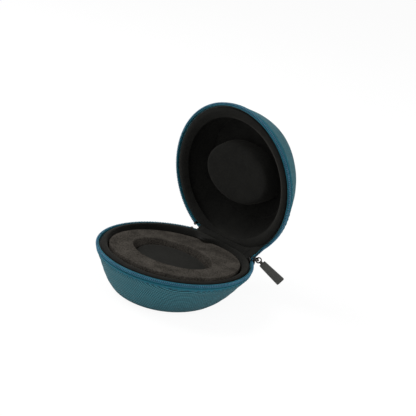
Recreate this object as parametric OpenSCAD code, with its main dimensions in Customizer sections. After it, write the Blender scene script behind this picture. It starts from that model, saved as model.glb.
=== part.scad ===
// Round zip case for earphones: two pressed halves on a cloth hinge, a coil zip and a foam ring.
// The origin is on the table, below the rim's centre. X runs along the hinge, Y to the rear, Z up.
// Each half is written as the base, with its parting plane at z = 0 and its bowl below that plane.

/* [Case] */
// Radius of the round rim, at the inner face of the zip coil
rim_r = 57; // [54:0.5:62]
// Depth of one half, from the parting plane to the flat oval of its bowl
half_depth = 31.8; // [29:0.2:36]
// Distance from the rim's centre back to the hinge fold
hinge_back = 51; // [48:0.5:53]
// Half length of the bowl's flat oval, side to side
oval_x = 30; // [27:0.5:33]
// Half width of the bowl's flat oval, front to rear
oval_y = 30; // [27:0.5:32]
// Distance of the bowl's flat oval in front of the rim's centre
oval_forward = 8.8; // [6:0.1:12]
// Height of the upright band at the top of each bowl
band_h = 5.2; // [4.9:0.1:7]
// Exponent of the bowl's side curve, larger is fuller
fullness = 2.05; // [1.7:0.05:2.4]
// Angle at which the lid stands open
open_angle = 82.8; // [60:0.1:95]

/* [Walls] */
// Thickness of the outer cloth
fabric_t = 0.6; // [0.4:0.05:1]
// Thickness of the pressed foam shell
shell_t = 2.4; // [1.8:0.1:3]
// Thickness of the lining
lining_t = 0.8; // [0.5:0.05:1.2]

/* [Lining] */
// Flange width of the base's lining at the sides
base_flange_side = 5.8; // [5:0.1:10]
// Flange width of the base's lining at the front
base_flange_front = 8.8; // [6:0.1:11]
// Flange width of the lid's lining at the sides
lid_flange_side = 9.2; // [5:0.1:11]
// Flange width of the lid's lining at the front
lid_flange_front = 9.8; // [6:0.1:11]
// Distance of both linings' lips in front of the hinge fold
flange_rear = 4; // [3.5:0.1:6]
// Depth of the lip below the parting plane
lip_depth = 3.6; // [3:0.1:4.5]
// Height of the flange's crown below the parting plane
crown_depth = 0.6; // [0.4:0.05:1]
// Rounding of the flange's outer edge
crown_round = 0.5; // [0.3:0.05:0.8]
// Height over which the cloth turns in at the lip
lip_turn = 0.7; // [0.4:0.05:1]
// Half length of the raised boss
boss_x = 31.2; // [26:0.2:33]
// Half width of the raised boss
boss_y = 22.8; // [18:0.2:24]
// Distance of the boss in front of the rim's centre
boss_forward = 2.9; // [0:0.1:6]
// Depth of the boss's flat top below the parting plane
boss_depth = 6.8; // [6:0.1:12]
// Rounding of the boss's top edge
boss_round = 3.5; // [2:0.1:5]
// Spread of the boss from its top to its foot
boss_draft = 1.6; // [0.5:0.1:2.5]

/* [Foam ring] */
// Thickness of the foam ring
ring_t = 9; // [6:0.5:11]
// Gap between the ring and the base's lip
ring_gap = 1.3; // [1:0.1:3]
// Gap between the ring's hole and the boss
hole_gap = 1.7; // [1.5:0.1:4]
// Depth of the ring's top at its rear edge
ring_depth = 3.2; // [3:0.1:4.5]
// Tilt of the ring, front edge up
ring_tilt = 2.5; // [0:0.1:3]
// Lean of the ring, edge at the slider's side up
ring_lean = 2.3; // [0:0.1:2.5]
// Gap at the wall that the ring's underside rests on
ring_seat = 0.3; // [0.2:0.05:0.6]

/* [Zip] */
// Height of one row of coil
coil_h = 2; // [1.6:0.05:2.4]
// Thickness of the coil, in the direction of the rim's radius
coil_t = 1.6; // [1.2:0.05:2]
// Gap between the two rows of coil when shut
coil_gap = 0.7; // [0.6:0.02:1]
// Thickness of the zip tape
tape_t = 0.4; // [0.3:0.02:0.6]
// Thickness of the tape's folded ridge
ridge_t = 1.4; // [1:0.05:1.8]
// Height of the folded ridge
ridge_h = 1.2; // [0.8:0.05:1.6]
// Distance between the last coil and the hinge fold
zip_end_gap = 1; // [0.6:0.1:3]
// Step between the coil's edge and the tape's
tape_step = 0.15; // [0.05:0.05:0.3]
// Length of a zip stop, along the rim
stop_len = 1.9; // [1.4:0.1:2.6]
// Depth of a zip stop behind the tape
stop_wrap = 0.5; // [0.4:0.05:0.6]
// Distance between the parked slider and the end of the lid's coil
lid_zip_gap = 3.5; // [3:0.1:6]

/* [Stitching] */
// Radius of the sewing thread
thread_r = 0.22; // [0.15:0.01:0.3]
// Length of a stitch
stitch_len = 2.6; // [1.5:0.1:3]
// Distance from one stitch to the next
stitch_pitch = 4; // [3.5:0.1:6]

/* [Hinge] */
// Thickness of the outer hinge strip
spine_t = 0.8; // [0.5:0.05:1.2]
// Height of the strip's overlap on each half
spine_leg = 9; // [6:0.5:12]
// Thickness of the lining cloth across the hinge
gusset_t = 0.8; // [0.5:0.05:1]
// Radius of the lining's fold at the hinge
gusset_r = 2.9; // [2.7:0.1:4]
// Distance from the fold's ends to the zip stops
gusset_gap = 0.5; // [0.3:0.1:2]
// Distance from the strip's ends to the corners of the flat rear face
spine_gap = 1.5; // [1:0.1:4]
// Distance from the strip's edge to its row of stitches
spine_hem = 1.5; // [1:0.1:2.5]

/* [Slider] */
// Gap between the parked slider and the bottom stop
park_gap = 0.3; // [0.2:0.05:2]
// Length of the slider
slider_len = 8; // [6:0.2:9]
// Thickness of the slider's front plate
plate_t = 1.2; // [0.8:0.05:1.6]
// Thickness of the slider's back plate
back_plate_t = 1; // [0.6:0.05:1]
// Thickness of the slider's side walls
slider_wall = 0.6; // [0.4:0.05:0.8]
// Running gap round the coil and the tape
run_gap = 0.3; // [0.2:0.02:0.35]
// Running gap above and below the coil and round the post
channel_gap = 0.15; // [0.1:0.01:0.2]
// Step between the edge of the front plate's channel and the back plate's
back_plate_step = 0.4; // [0.2:0.05:0.8]
// Length of the post between the two rows of coil
post_len = 2.6; // [1.5:0.1:4]
// Radius of the bail's wire
bail_r = 0.6; // [0.4:0.02:0.7]
// Height of the bail's bar above the front plate
bail_h = 2.7; // [2.6:0.1:3.4]
// Length of the bail between its legs' centres
bail_len = 4.8; // [4:0.1:6]

/* [Puller] */
// Radius of the hole in the puller's eye
eye_hole_r = 1.6; // [1.3:0.05:1.8]
// Width of metal round the eye's hole
eye_wall = 0.9; // [0.8:0.05:1.2]
// Thickness of the metal link
link_t = 1.4; // [1:0.05:1.6]
// Width of the link's stem
stem_w = 2.4; // [1.6:0.1:3]
// Distance from the bail's bar to the grip
grip_start = 4.6; // [4:0.1:7]
// Distance from the bail's bar to the puller's tip
puller_len = 26.7; // [22:0.1:34]
// Width of the grip at the link
grip_neck_w = 5.4; // [4:0.1:6]
// Width of the grip at its tip
grip_tip_w = 7; // [5:0.1:8]
// Thickness of the grip
grip_t = 2; // [1.8:0.05:2.6]
// Length of the stem inside the grip
stem_grip = 5; // [3:0.1:8]
// Corner radius at the tip
tip_r = 0.9; // [0.4:0.1:1.8]
// Angle that the puller droops below level
droop = 37; // [0:1:60]

/* [Hidden] */
$fn = 48;

// Facets round each bowl
AROUND = 56;
// Sharpness of the bowl's turn into the flat hinge face
CORNER = 24;
// How much each layer's oval draws in for each mm of depth into the wall
OVAL_DRAW = 0.3;
// Share of the way from the oval (0) to the rim (1) of each ring on a bowl
LEVELS = [1, 0.86, 0.7, 0.56, 0.42, 0.24, 0];
// The trough's floor starts at this ring
FLOOR_LEVEL = 4;
// Clearance between sewn or pressed pieces
TOUCH = 0.1;
// Clearance of a leg in its socket
SOCKET = 0.02;

thread_colour = "#2c5a68";
fabric_colour = "#3f7685";
zip_colour = "#2f6076";
lining_colour = "#26261f";
shell_colour = "#3a3a3a";
foam_colour = "#4d4943";
metal_colour = "#55575a";
grip_colour = "#3a3b3a";

parting_z = half_depth;
tape_in_r = rim_r - tape_t;
dome_r = tape_in_r - TOUCH;
flat_back = hinge_back - 2 * TOUCH;
back_step = dome_r - flat_back;
shell_top = coil_gap / 2 + coil_h + run_gap;
groove_in_r = dome_r - run_gap - back_plate_t - run_gap + TOUCH;
coil_r = rim_r + TOUCH / 2;
coil_out_r = coil_r + coil_t;
wall_in = fabric_t + shell_t;
lining_in = wall_in + lining_t;

// Ends of the zip: no coil crosses the line of the hinge fold
zip_end_az = asin((hinge_back - zip_end_gap) / coil_out_r);
function arc_az(length) = length / rim_r * 180 / PI;
slider_half_az = slider_len / 2 / coil_out_r * 180 / PI;
stop_az = arc_az(stop_len);
touch_az = arc_az(TOUCH);
bottom_stop_az = zip_end_az - stop_az;
slider_az = bottom_stop_az + touch_az - arc_az(park_gap) - slider_half_az;
lid_zip_start_az = slider_az - slider_half_az - arc_az(lid_zip_gap);
left_end_az = 180 - zip_end_az;
left_coil_az = left_end_az + stop_az;

// Sewn groove below the ridge
ridge_top = coil_gap / 2 + coil_h + channel_gap + slider_wall + run_gap;
ridge_bottom = ridge_top + ridge_h;
groove_z = ridge_bottom + tape_t * 3 / 4;
tape_bottom = groove_z + thread_r * 2 + TOUCH / 2;
groove_r = rim_r + tape_t / 2;

// The two oval lips and the ring that lies inside the base's lip
function lip_y(front) = (hinge_back - flange_rear + rim_r - front) / 2;
function lip_shift(front) = (hinge_back - flange_rear - rim_r + front) / 2;
ring_x = rim_r - base_flange_side - ring_gap;
ring_y = lip_y(base_flange_front) - ring_gap;
ring_shift = lip_shift(base_flange_front);

// A value that follows y and turns smoothly into the limit of the flat hinge face
function turn_back(y, limit) = y <= 0 ? y : y / pow(1 + pow(y / limit, CORNER), 1 / CORNER);
function azimuth(i) = 360 * i / AROUND;
function outline(r, z) = [for (i = [0 : AROUND - 1])
    [r * cos(azimuth(i)), turn_back(r * sin(azimuth(i)), r - back_step), z]];
function oval(a, b, shift, z) = [for (i = [0 : AROUND - 1])
    [a * cos(azimuth(i)), shift + b * sin(azimuth(i)), z]];
function mid_ring(a, b, z) = [for (i = [0 : AROUND - 1])
    [(a[i][0] + b[i][0]) / 2, (a[i][1] + b[i][1]) / 2, z]];

// Depth of a bowl's surface at a level, for a layer that lies inset below the outer face
function bowl_z(s, inset) = -band_h - (half_depth - inset - band_h) * (1 - pow(s, fullness));
function mix(a, b, s) = a + (b - a) * s;
function bowl_ring(s, inset) = [for (i = [0 : AROUND - 1]) [
    mix(oval_x - OVAL_DRAW * inset, dome_r - inset, s) * cos(azimuth(i)),
    turn_back(
        mix(-oval_forward, 0, s) + mix(oval_y - OVAL_DRAW * inset, dome_r - inset, s) * sin(azimuth(i)),
        flat_back - inset),
    bowl_z(s, inset)]];
// Level at which a bowl's surface lies at a depth
function bowl_level(z, inset) = pow(1 - (-z - band_h) / (half_depth - inset - band_h), 1 / fullness);
function bowl_rings(inset) = [for (s = LEVELS) bowl_ring(s, inset)];
function bowl_pole(inset) = [0, -oval_forward, bowl_z(0, inset)];
function backwards(list) = [for (i = [len(list) - 1 : -1 : 0]) list[i]];
function first(list, count) = [for (i = [0 : count - 1]) list[i]];

// The lining's underside from the trough's floor to the top of the boss
floor_z = bowl_z(LEVELS[FLOOR_LEVEL], lining_in);
under_floor_z = bowl_z(LEVELS[FLOOR_LEVEL], wall_in);
function boss_rings(inset, foot_z) = [
    oval(boss_x + boss_draft - inset, boss_y + boss_draft - inset, -boss_forward, foot_z),
    oval(boss_x - inset, boss_y - inset, -boss_forward, -boss_depth - boss_round * 0.8 - inset),
    oval(boss_x - boss_round * 0.35 - inset, boss_y - boss_round * 0.35 - inset, -boss_forward,
        -boss_depth - boss_round * 0.18 - inset),
    oval(boss_x - boss_round - inset, boss_y - boss_round - inset, -boss_forward, -boss_depth - inset)];
function boss_pole(inset) = [0, -boss_forward, -boss_depth - inset];

// The two triangles between a point a of one ring and its neighbours. They are cut along the same
// diagonal on both faces of a wall, from the lower ring, so that layers meet face to face.
function cell(a, b, next_a, next_b, rising) = rising
    ? [[a, next_a, next_b], [a, next_b, b]]
    : [[a, next_a, b], [b, next_a, next_b]];

// A closed skin over rings of equal count, from one pole to the other
module skin(pole_a, rings, pole_b) {
    count = len(rings);
    last = count * AROUND + 1;
    points = concat([pole_a], [for (ring = rings) each ring], [pole_b]);
    faces = concat(
        [for (i = [0 : AROUND - 1]) [0, 1 + i, 1 + (i + 1) % AROUND]],
        [for (r = [0 : count - 2], i = [0 : AROUND - 1])
            let (
                a = 1 + r * AROUND + i,
                b = 1 + r * AROUND + (i + 1) % AROUND,
                rising = rings[r][0][2] < rings[r + 1][0][2])
            each cell(a, b, a + AROUND, b + AROUND, rising)],
        [for (i = [0 : AROUND - 1])
            let (start = 1 + (count - 1) * AROUND) [start + i, last, start + (i + 1) % AROUND]]);
    polyhedron(points = points, faces = faces);
}

// A closed skin over a loop of rings, with a hole through its middle
module ring_skin(rings) {
    count = len(rings);
    points = [for (ring = rings) each ring];
    faces = [for (r = [0 : count - 1], i = [0 : AROUND - 1])
        let (start = r * AROUND, next_start = ((r + 1) % count) * AROUND, j = (i + 1) % AROUND)
        each cell(start + i, start + j, next_start + i, next_start + j, true)];
    polyhedron(points = points, faces = faces);
}

module in_base() {
    translate([0, 0, parting_z])
        children();
}

module in_lid() {
    translate([0, hinge_back, parting_z])
        rotate([-open_angle, 0, 0])
            translate([0, -hinge_back, 0])
                mirror([0, 0, 1])
                    children();
}

// A bowl layer between two insets, open at the top
module bowl_layer(outer, inner) {
    skin(
        bowl_pole(outer),
        concat(
            backwards(bowl_rings(outer)),
            [outline(dome_r - outer, -shell_top), outline(dome_r - inner, -shell_top)],
            bowl_rings(inner)),
        bowl_pole(inner));
}

// The lining: flange, lip, wall, trough floor and boss, as one folded sheet
module lining(side, front) {
    lip_half_x = rim_r - side;
    crown = outline(groove_in_r - crown_round, -crown_depth);
    lip = oval(lip_half_x, lip_y(front), lip_shift(front), -lip_depth);
    skin(
        boss_pole(lining_t),
        concat(
            backwards(boss_rings(lining_t, under_floor_z)),
            backwards(first(bowl_rings(wall_in), FLOOR_LEVEL + 1)),
            [
                outline(dome_r - wall_in, TOUCH - shell_top),
                outline(groove_in_r, TOUCH - shell_top),
                outline(groove_in_r, -crown_depth - crown_round),
                crown,
                mid_ring(crown, lip, -(crown_depth * 0.6 + lip_depth * 0.4)),
                oval(lip_half_x + lip_turn / 2, lip_y(front) + lip_turn / 4, lip_shift(front), lip_turn - lip_depth),
                lip
            ],
            first(bowl_rings(lining_in), FLOOR_LEVEL + 1),
            boss_rings(0, floor_z)),
        boss_pole(0));
}

// Solid foam under the lining: it fills the bowl below the trough and inside the boss
module boss_core() {
    bowls = bowl_rings(wall_in);
    lowest = len(LEVELS) - 1;
    skin(
        bowl_pole(wall_in),
        concat(
            [for (i = [lowest : -1 : FLOOR_LEVEL]) bowls[i]],
            boss_rings(lining_t, under_floor_z)),
        boss_pole(lining_t));
}

// A solid of revolution round the rim, from one azimuth to another
module round_rim(from_az, to_az) {
    rotate([0, 0, from_az])
        rotate_extrude(angle = to_az - from_az, $fn = 180)
            children();
}

module tape_section() {
    polygon([
        [tape_in_r, -coil_gap / 2 - tape_step],
        [rim_r, -coil_gap / 2 - tape_step],
        [rim_r, -ridge_top],
        [rim_r + ridge_t * 0.55, -ridge_top],
        [rim_r + ridge_t - tape_t, -ridge_top - ridge_h * 0.35],
        [rim_r + ridge_t - tape_t, -ridge_top - ridge_h * 0.65],
        [groove_r, -ridge_bottom],
        [groove_r, -tape_bottom],
        [tape_in_r, -tape_bottom]
    ]);
}

module coil_section() {
    difference() {
        translate([coil_r, -coil_gap / 2 - coil_h])
            square([coil_t, coil_h]);
        translate([coil_out_r - coil_t * 0.3, -coil_gap / 2 - coil_h])
            rotate(-45)
                square([coil_t, coil_t * 0.3], center = true);
    }
}

// A stop is clinched over the tape's edge
module stop_section() {
    low_z = -coil_gap / 2 - coil_h;
    difference() {
        translate([tape_in_r - stop_wrap, low_z])
            square([coil_out_r - TOUCH - tape_in_r + stop_wrap, coil_h + tape_step]);
        translate([tape_in_r - SOCKET, low_z - coil_h])
            square([tape_t + 2 * SOCKET, 2 * coil_h - tape_step + SOCKET]);
    }
}

module stitch(length) {
    cylinder(h = length, r = thread_r, center = true, $fn = 16);
}

module rim_stitch_row() {
    row_r = groove_r + thread_r + TOUCH;
    step = stitch_pitch / row_r * 180 / PI;
    for (a = [left_end_az + step : step : 360 + zip_end_az - step])
        rotate([0, 0, a])
            translate([row_r, 0, -groove_z])
                rotate([90, 0, 0])
                    stitch(stitch_len);
}

// The hinge strip's point at a distance out from, and along, one half's flat rear face
function base_face(out, along) = [out, -along];
function lid_face(out, along) = [
    out * cos(open_angle) + along * sin(open_angle),
    -out * sin(open_angle) + along * cos(open_angle)];
spine_half_w = rim_r * cos(asin(hinge_back / rim_r)) - spine_gap;
gusset_half_w = (tape_in_r - stop_wrap) * cos(zip_end_az) - gusset_gap;

module hinge_prism(half_w) {
    translate([0, hinge_back, parting_z])
        rotate([90, 0, 90])
            linear_extrude(height = 2 * half_w, center = true)
                children();
}

module spine_stitch_row() {
    count = floor((2 * spine_half_w - 2 * stitch_len) / stitch_pitch);
    for (i = [-count / 2 : count / 2])
        translate([
                i * stitch_pitch,
                hinge_back + 2 * TOUCH + spine_t + thread_r + TOUCH / 2,
                -spine_leg + spine_hem
            ])
            rotate([0, 90, 0])
                stitch(stitch_len);
}

// Pieces of the slider stand in its own frame: X outward, Y along the rim, Z up
module at_slider() {
    translate([0, 0, parting_z])
        rotate([0, 0, slider_az])
            children();
}

channel_h = coil_gap / 2 + coil_h + channel_gap;
plate_in_r = coil_out_r + run_gap;
plate_out_r = plate_in_r + plate_t;
back_in_r = dome_r + TOUCH - run_gap - back_plate_t;
back_out_r = back_in_r + back_plate_t;
bail_axis_r = plate_out_r + bail_h;
leg_start_r = plate_out_r - plate_t / 2;

module slider_section() {
    difference() {
        translate([rim_r + run_gap, -channel_h - slider_wall])
            square([plate_out_r - rim_r - run_gap, 2 * (channel_h + slider_wall)]);
        translate([0, -channel_h])
            square([plate_in_r, 2 * channel_h]);
    }
    translate([back_in_r, -channel_h + back_plate_step])
        square([back_plate_t, 2 * (channel_h - back_plate_step)]);
}

module post_section() {
    post_h = coil_gap - 2 * channel_gap;
    translate([back_out_r - back_plate_t / 2, -post_h / 2])
        square([plate_in_r - back_out_r + back_plate_t, post_h]);
}

module bail_legs(extra_r) {
    for (side = [-1, 1])
        translate([leg_start_r, side * bail_len / 2, 0])
            rotate([0, 90, 0])
                cylinder(h = bail_h + plate_t / 2, r = bail_r + extra_r);
}

// Pieces of the puller stand in its own frame: origin on the bail's bar, X towards the tip
module at_puller() {
    at_slider()
        translate([bail_axis_r, 0, 0])
            rotate([0, droop, 0])
                children();
}

eye_x = eye_hole_r - bail_r - TOUCH;
eye_out_r = eye_hole_r + eye_wall;

module stem(extra) {
    end_x = grip_start + stem_grip + extra;
    translate([eye_x + eye_hole_r + eye_wall / 2, -link_t / 2 - extra, -stem_w / 2 - extra])
        cube([end_x - eye_x - eye_hole_r - eye_wall / 2, link_t + 2 * extra, stem_w + 2 * extra]);
}

function arc(cx, cy, r, from, to) = [for (i = [0 : 6])
    [cx + r * cos(from + (to - from) * i / 6), cy + r * sin(from + (to - from) * i / 6)]];

module grip_outline() {
    polygon(concat(
        [[grip_start, grip_neck_w / 2], [grip_start, -grip_neck_w / 2]],
        arc(puller_len - tip_r, -grip_tip_w / 2 + tip_r, tip_r, -90, 0),
        arc(puller_len - tip_r, grip_tip_w / 2 - tip_r, tip_r, 0, 90)));
}

module base_fabric() {
    color(fabric_colour)
        in_base()
            bowl_layer(0, fabric_t);
}

module base_shell() {
    color(shell_colour)
        in_base()
            bowl_layer(fabric_t, wall_in);
}

module base_lining() {
    color(lining_colour)
        in_base()
            lining(base_flange_side, base_flange_front);
}

module base_boss_core() {
    color(shell_colour)
        in_base()
            boss_core();
}

module base_zip_tape() {
    color(fabric_colour)
        in_base()
            round_rim(left_end_az, 360 + zip_end_az)
                tape_section();
}

module base_zip_coil() {
    color(zip_colour)
        in_base()
            round_rim(left_coil_az, 360 + bottom_stop_az)
                coil_section();
}

module base_rim_stitches() {
    color(thread_colour)
        in_base()
            rim_stitch_row();
}

module base_top_stop() {
    color(metal_colour)
        in_base()
            round_rim(left_end_az, left_coil_az - touch_az)
                stop_section();
}

module bottom_stop() {
    color(metal_colour)
        in_base()
            round_rim(bottom_stop_az + touch_az, zip_end_az)
                stop_section();
}

// The ring lies loose and a little crooked on the slope of the lining
module foam_ring() {
    rear_y = ring_shift + ring_y;
    lean_drop = ring_x * sin(ring_lean);
    wall = bowl_ring(bowl_level(-ring_depth - ring_t - lean_drop, lining_in), lining_in);
    low_x = min(ring_x, wall[0][0] - ring_seat);
    low_rear = min(rear_y, wall[AROUND / 4][1] - ring_seat);
    low_y = (low_rear - ring_shift + ring_y) / 2;
    low_shift = low_rear - low_y;
    hole_x = boss_x + hole_gap;
    hole_y = boss_y + hole_gap;
    color(foam_colour)
        in_base()
            translate([0, rear_y, -ring_depth])
                rotate([-ring_tilt, -ring_lean, 0])
                    translate([0, -rear_y, 0])
                        ring_skin([
                            oval(low_x, low_y, low_shift, -ring_t),
                            oval(ring_x, ring_y, ring_shift, -ring_t / 2),
                            oval(ring_x, ring_y, ring_shift, 0),
                            oval(hole_x, hole_y, -boss_forward, 0),
                            oval(hole_x, hole_y, -boss_forward, -ring_t)
                        ]);
}

module hinge_spine() {
    near = 2 * TOUCH;
    far = near + spine_t;
    color(fabric_colour)
        hinge_prism(spine_half_w)
            polygon([
                base_face(near, spine_leg),
                base_face(near, near),
                lid_face(near, near),
                lid_face(near, spine_leg),
                lid_face(far, spine_leg),
                lid_face(far, far * 1.4),
                base_face(far, far * 1.4),
                base_face(far, spine_leg)
            ]);
}

// The lining's fold across the hinge: an arc about the fold line, from one flange's crown to the other's
module hinge_gusset() {
    inner_az = 180 - open_angle / 2;
    spread = open_angle / 2 + asin(crown_depth / 2 / gusset_r);
    steps = 16;
    function fold_pt(r, u) = r * [cos(inner_az + spread * u), sin(inner_az + spread * u)];
    color(lining_colour)
        hinge_prism(gusset_half_w)
            polygon(concat(
                [for (i = [-steps / 2 : steps / 2]) fold_pt(gusset_r, 2 * i / steps)],
                [for (i = [steps / 2 : -1 : -steps / 2]) fold_pt(gusset_r - gusset_t, 2 * i / steps)]));
}

module base_spine_stitches() {
    color(thread_colour)
        in_base()
            spine_stitch_row();
}

module lid_fabric() {
    color(fabric_colour)
        in_lid()
            bowl_layer(0, fabric_t);
}

module lid_shell() {
    color(shell_colour)
        in_lid()
            bowl_layer(fabric_t, wall_in);
}

module lid_lining() {
    color(lining_colour)
        in_lid()
            lining(lid_flange_side, lid_flange_front);
}

module lid_zip_tape() {
    color(fabric_colour)
        in_lid()
            round_rim(left_end_az, 360 + lid_zip_start_az)
                tape_section();
}

module lid_zip_coil() {
    color(zip_colour)
        in_lid()
            round_rim(left_coil_az, 360 + lid_zip_start_az)
                coil_section();
}

module lid_rim_stitches() {
    color(thread_colour)
        in_lid()
            rim_stitch_row();
}

module lid_top_stop() {
    color(metal_colour)
        in_lid()
            round_rim(left_end_az, left_coil_az - touch_az)
                stop_section();
}

module lid_spine_stitches() {
    color(thread_colour)
        in_lid()
            spine_stitch_row();
}

module slider_body() {
    post_half_az = post_len / 2 / rim_r * 180 / PI;
    color(metal_colour)
        at_slider()
            difference() {
                union() {
                    round_rim(-slider_half_az, slider_half_az)
                        slider_section();
                    round_rim(-post_half_az, post_half_az)
                        post_section();
                }
                bail_legs(SOCKET);
            }
}

module slider_bail() {
    color(metal_colour)
        at_slider() {
            difference() {
                bail_legs(0);
                translate([leg_start_r - 1, -bail_len, -bail_len])
                    cube([1 + SOCKET, 2 * bail_len, 2 * bail_len]);
            }
            for (side = [-1, 1])
                translate([bail_axis_r, side * bail_len / 2, 0])
                    sphere(r = bail_r);
            translate([bail_axis_r, 0, 0])
                rotate([90, 0, 0])
                    cylinder(h = bail_len, r = bail_r, center = true);
        }
}

module puller_link() {
    color(metal_colour)
        at_puller()
            difference() {
                union() {
                    translate([eye_x, 0, 0])
                        rotate([90, 0, 0])
                            cylinder(h = link_t, r = eye_out_r, center = true);
                    stem(0);
                }
                translate([eye_x, 0, 0])
                    rotate([90, 0, 0])
                        cylinder(h = 2 * link_t, r = eye_hole_r, center = true);
            }
}

module puller_grip() {
    color(grip_colour)
        at_puller()
            difference() {
                rotate([90, 0, 0])
                    linear_extrude(height = grip_t, center = true)
                        grip_outline();
                stem(SOCKET);
            }
}

base_fabric();
base_shell();
base_lining();
base_boss_core();
base_zip_tape();
base_zip_coil();
base_rim_stitches();
base_top_stop();
bottom_stop();
foam_ring();
hinge_spine();
hinge_gusset();
base_spine_stitches();
lid_fabric();
lid_shell();
lid_lining();
lid_zip_tape();
lid_zip_coil();
lid_rim_stitches();
lid_top_stop();
lid_spine_stitches();
slider_body();
slider_bail();
puller_link();
puller_grip();
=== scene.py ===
"""Looks of a round zip case for earphones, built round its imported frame.

Each half is described in its own frame: the parting plane at z = 0, the bowl below it, X along
the hinge and Y to the rear. The base is lifted onto the table; the lid is that same form mirrored
and swung open about the hinge fold. Every length is in metres.
"""

import logging
import math
from collections.abc import Callable
from dataclasses import dataclass, field
from enum import Enum

import bpy
import numpy as np
from mathutils import Matrix, Vector


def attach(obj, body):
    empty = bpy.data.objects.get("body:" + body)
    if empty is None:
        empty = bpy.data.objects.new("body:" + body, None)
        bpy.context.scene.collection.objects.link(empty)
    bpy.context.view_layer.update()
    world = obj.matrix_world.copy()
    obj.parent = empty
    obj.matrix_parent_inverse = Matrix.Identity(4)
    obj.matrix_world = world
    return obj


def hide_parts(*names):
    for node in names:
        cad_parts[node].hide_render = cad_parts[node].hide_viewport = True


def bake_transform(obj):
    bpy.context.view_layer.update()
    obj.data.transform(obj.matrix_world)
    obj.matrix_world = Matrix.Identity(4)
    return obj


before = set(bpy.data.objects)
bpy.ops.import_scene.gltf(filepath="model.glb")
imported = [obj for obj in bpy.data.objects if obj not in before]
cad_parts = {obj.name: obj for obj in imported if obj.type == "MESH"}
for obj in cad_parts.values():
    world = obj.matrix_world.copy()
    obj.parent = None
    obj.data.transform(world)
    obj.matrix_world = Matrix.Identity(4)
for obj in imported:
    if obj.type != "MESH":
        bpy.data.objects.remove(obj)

MM = 0.001
FULL_TURN = 2 * math.pi
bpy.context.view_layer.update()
log = logging.getLogger("zip_case")


class Half(Enum):
    """The two halves of the case."""

    BASE = "base"
    LID = "lid"


class Face(Enum):
    """Which way the faces of a grid are wound."""

    AS_LAID = 1
    REVERSED = -1


def linear(hex_colour: str) -> tuple[float, float, float, float]:
    """Turn an sRGB hex colour into the linear colour that shaders take.

    Args:
        hex_colour: six hex digits after a hash sign.

    Returns:
        Red, green and blue in linear light, and an alpha of 1.
    """
    parts = [int(hex_colour[i : i + 2], 16) / 255 for i in (1, 3, 5)]
    red, green, blue = (c / 12.92 if c <= 0.04045 else ((c + 0.055) / 1.055) ** 2.4 for c in parts)
    return red, green, blue, 1.0


def empty_tree(owner: bpy.types.ID) -> bpy.types.NodeTree:
    """Give a material or a world a node tree with nothing in it.

    Args:
        owner: the material or the world.

    Returns:
        Its empty tree.
    """
    owner.use_nodes = True
    owner.node_tree.nodes.clear()
    return owner.node_tree


def add_node(
    tree: bpy.types.NodeTree, kind: str, inputs: dict | None = None, **settings: object
) -> bpy.types.Node:
    """Add one node with its settings, its values and its links.

    Args:
        tree: the material's or the world's node tree.
        kind: the node's type name, without the ShaderNode prefix.
        inputs: socket name or number against a value, or against the socket that feeds it.
        **settings: properties of the node itself.

    Returns:
        The new node.
    """
    made = tree.nodes.new("ShaderNode" + kind)
    for name, value in settings.items():
        setattr(made, name, value)
    for name, value in (inputs or {}).items():
        if isinstance(value, bpy.types.NodeSocket):
            tree.links.new(value, made.inputs[name])
        else:
            made.inputs[name].default_value = value
    return made


def stand(name: str, data: bpy.types.ID) -> bpy.types.Object:
    """Link a new object into the scene.

    Args:
        name: its name.
        data: its mesh, lamp or camera.

    Returns:
        The object, at the origin.
    """
    made = bpy.data.objects.new(name, data)
    bpy.context.scene.collection.objects.link(made)
    return made


# ---------------------------------------------------------------- surfaces


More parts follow.
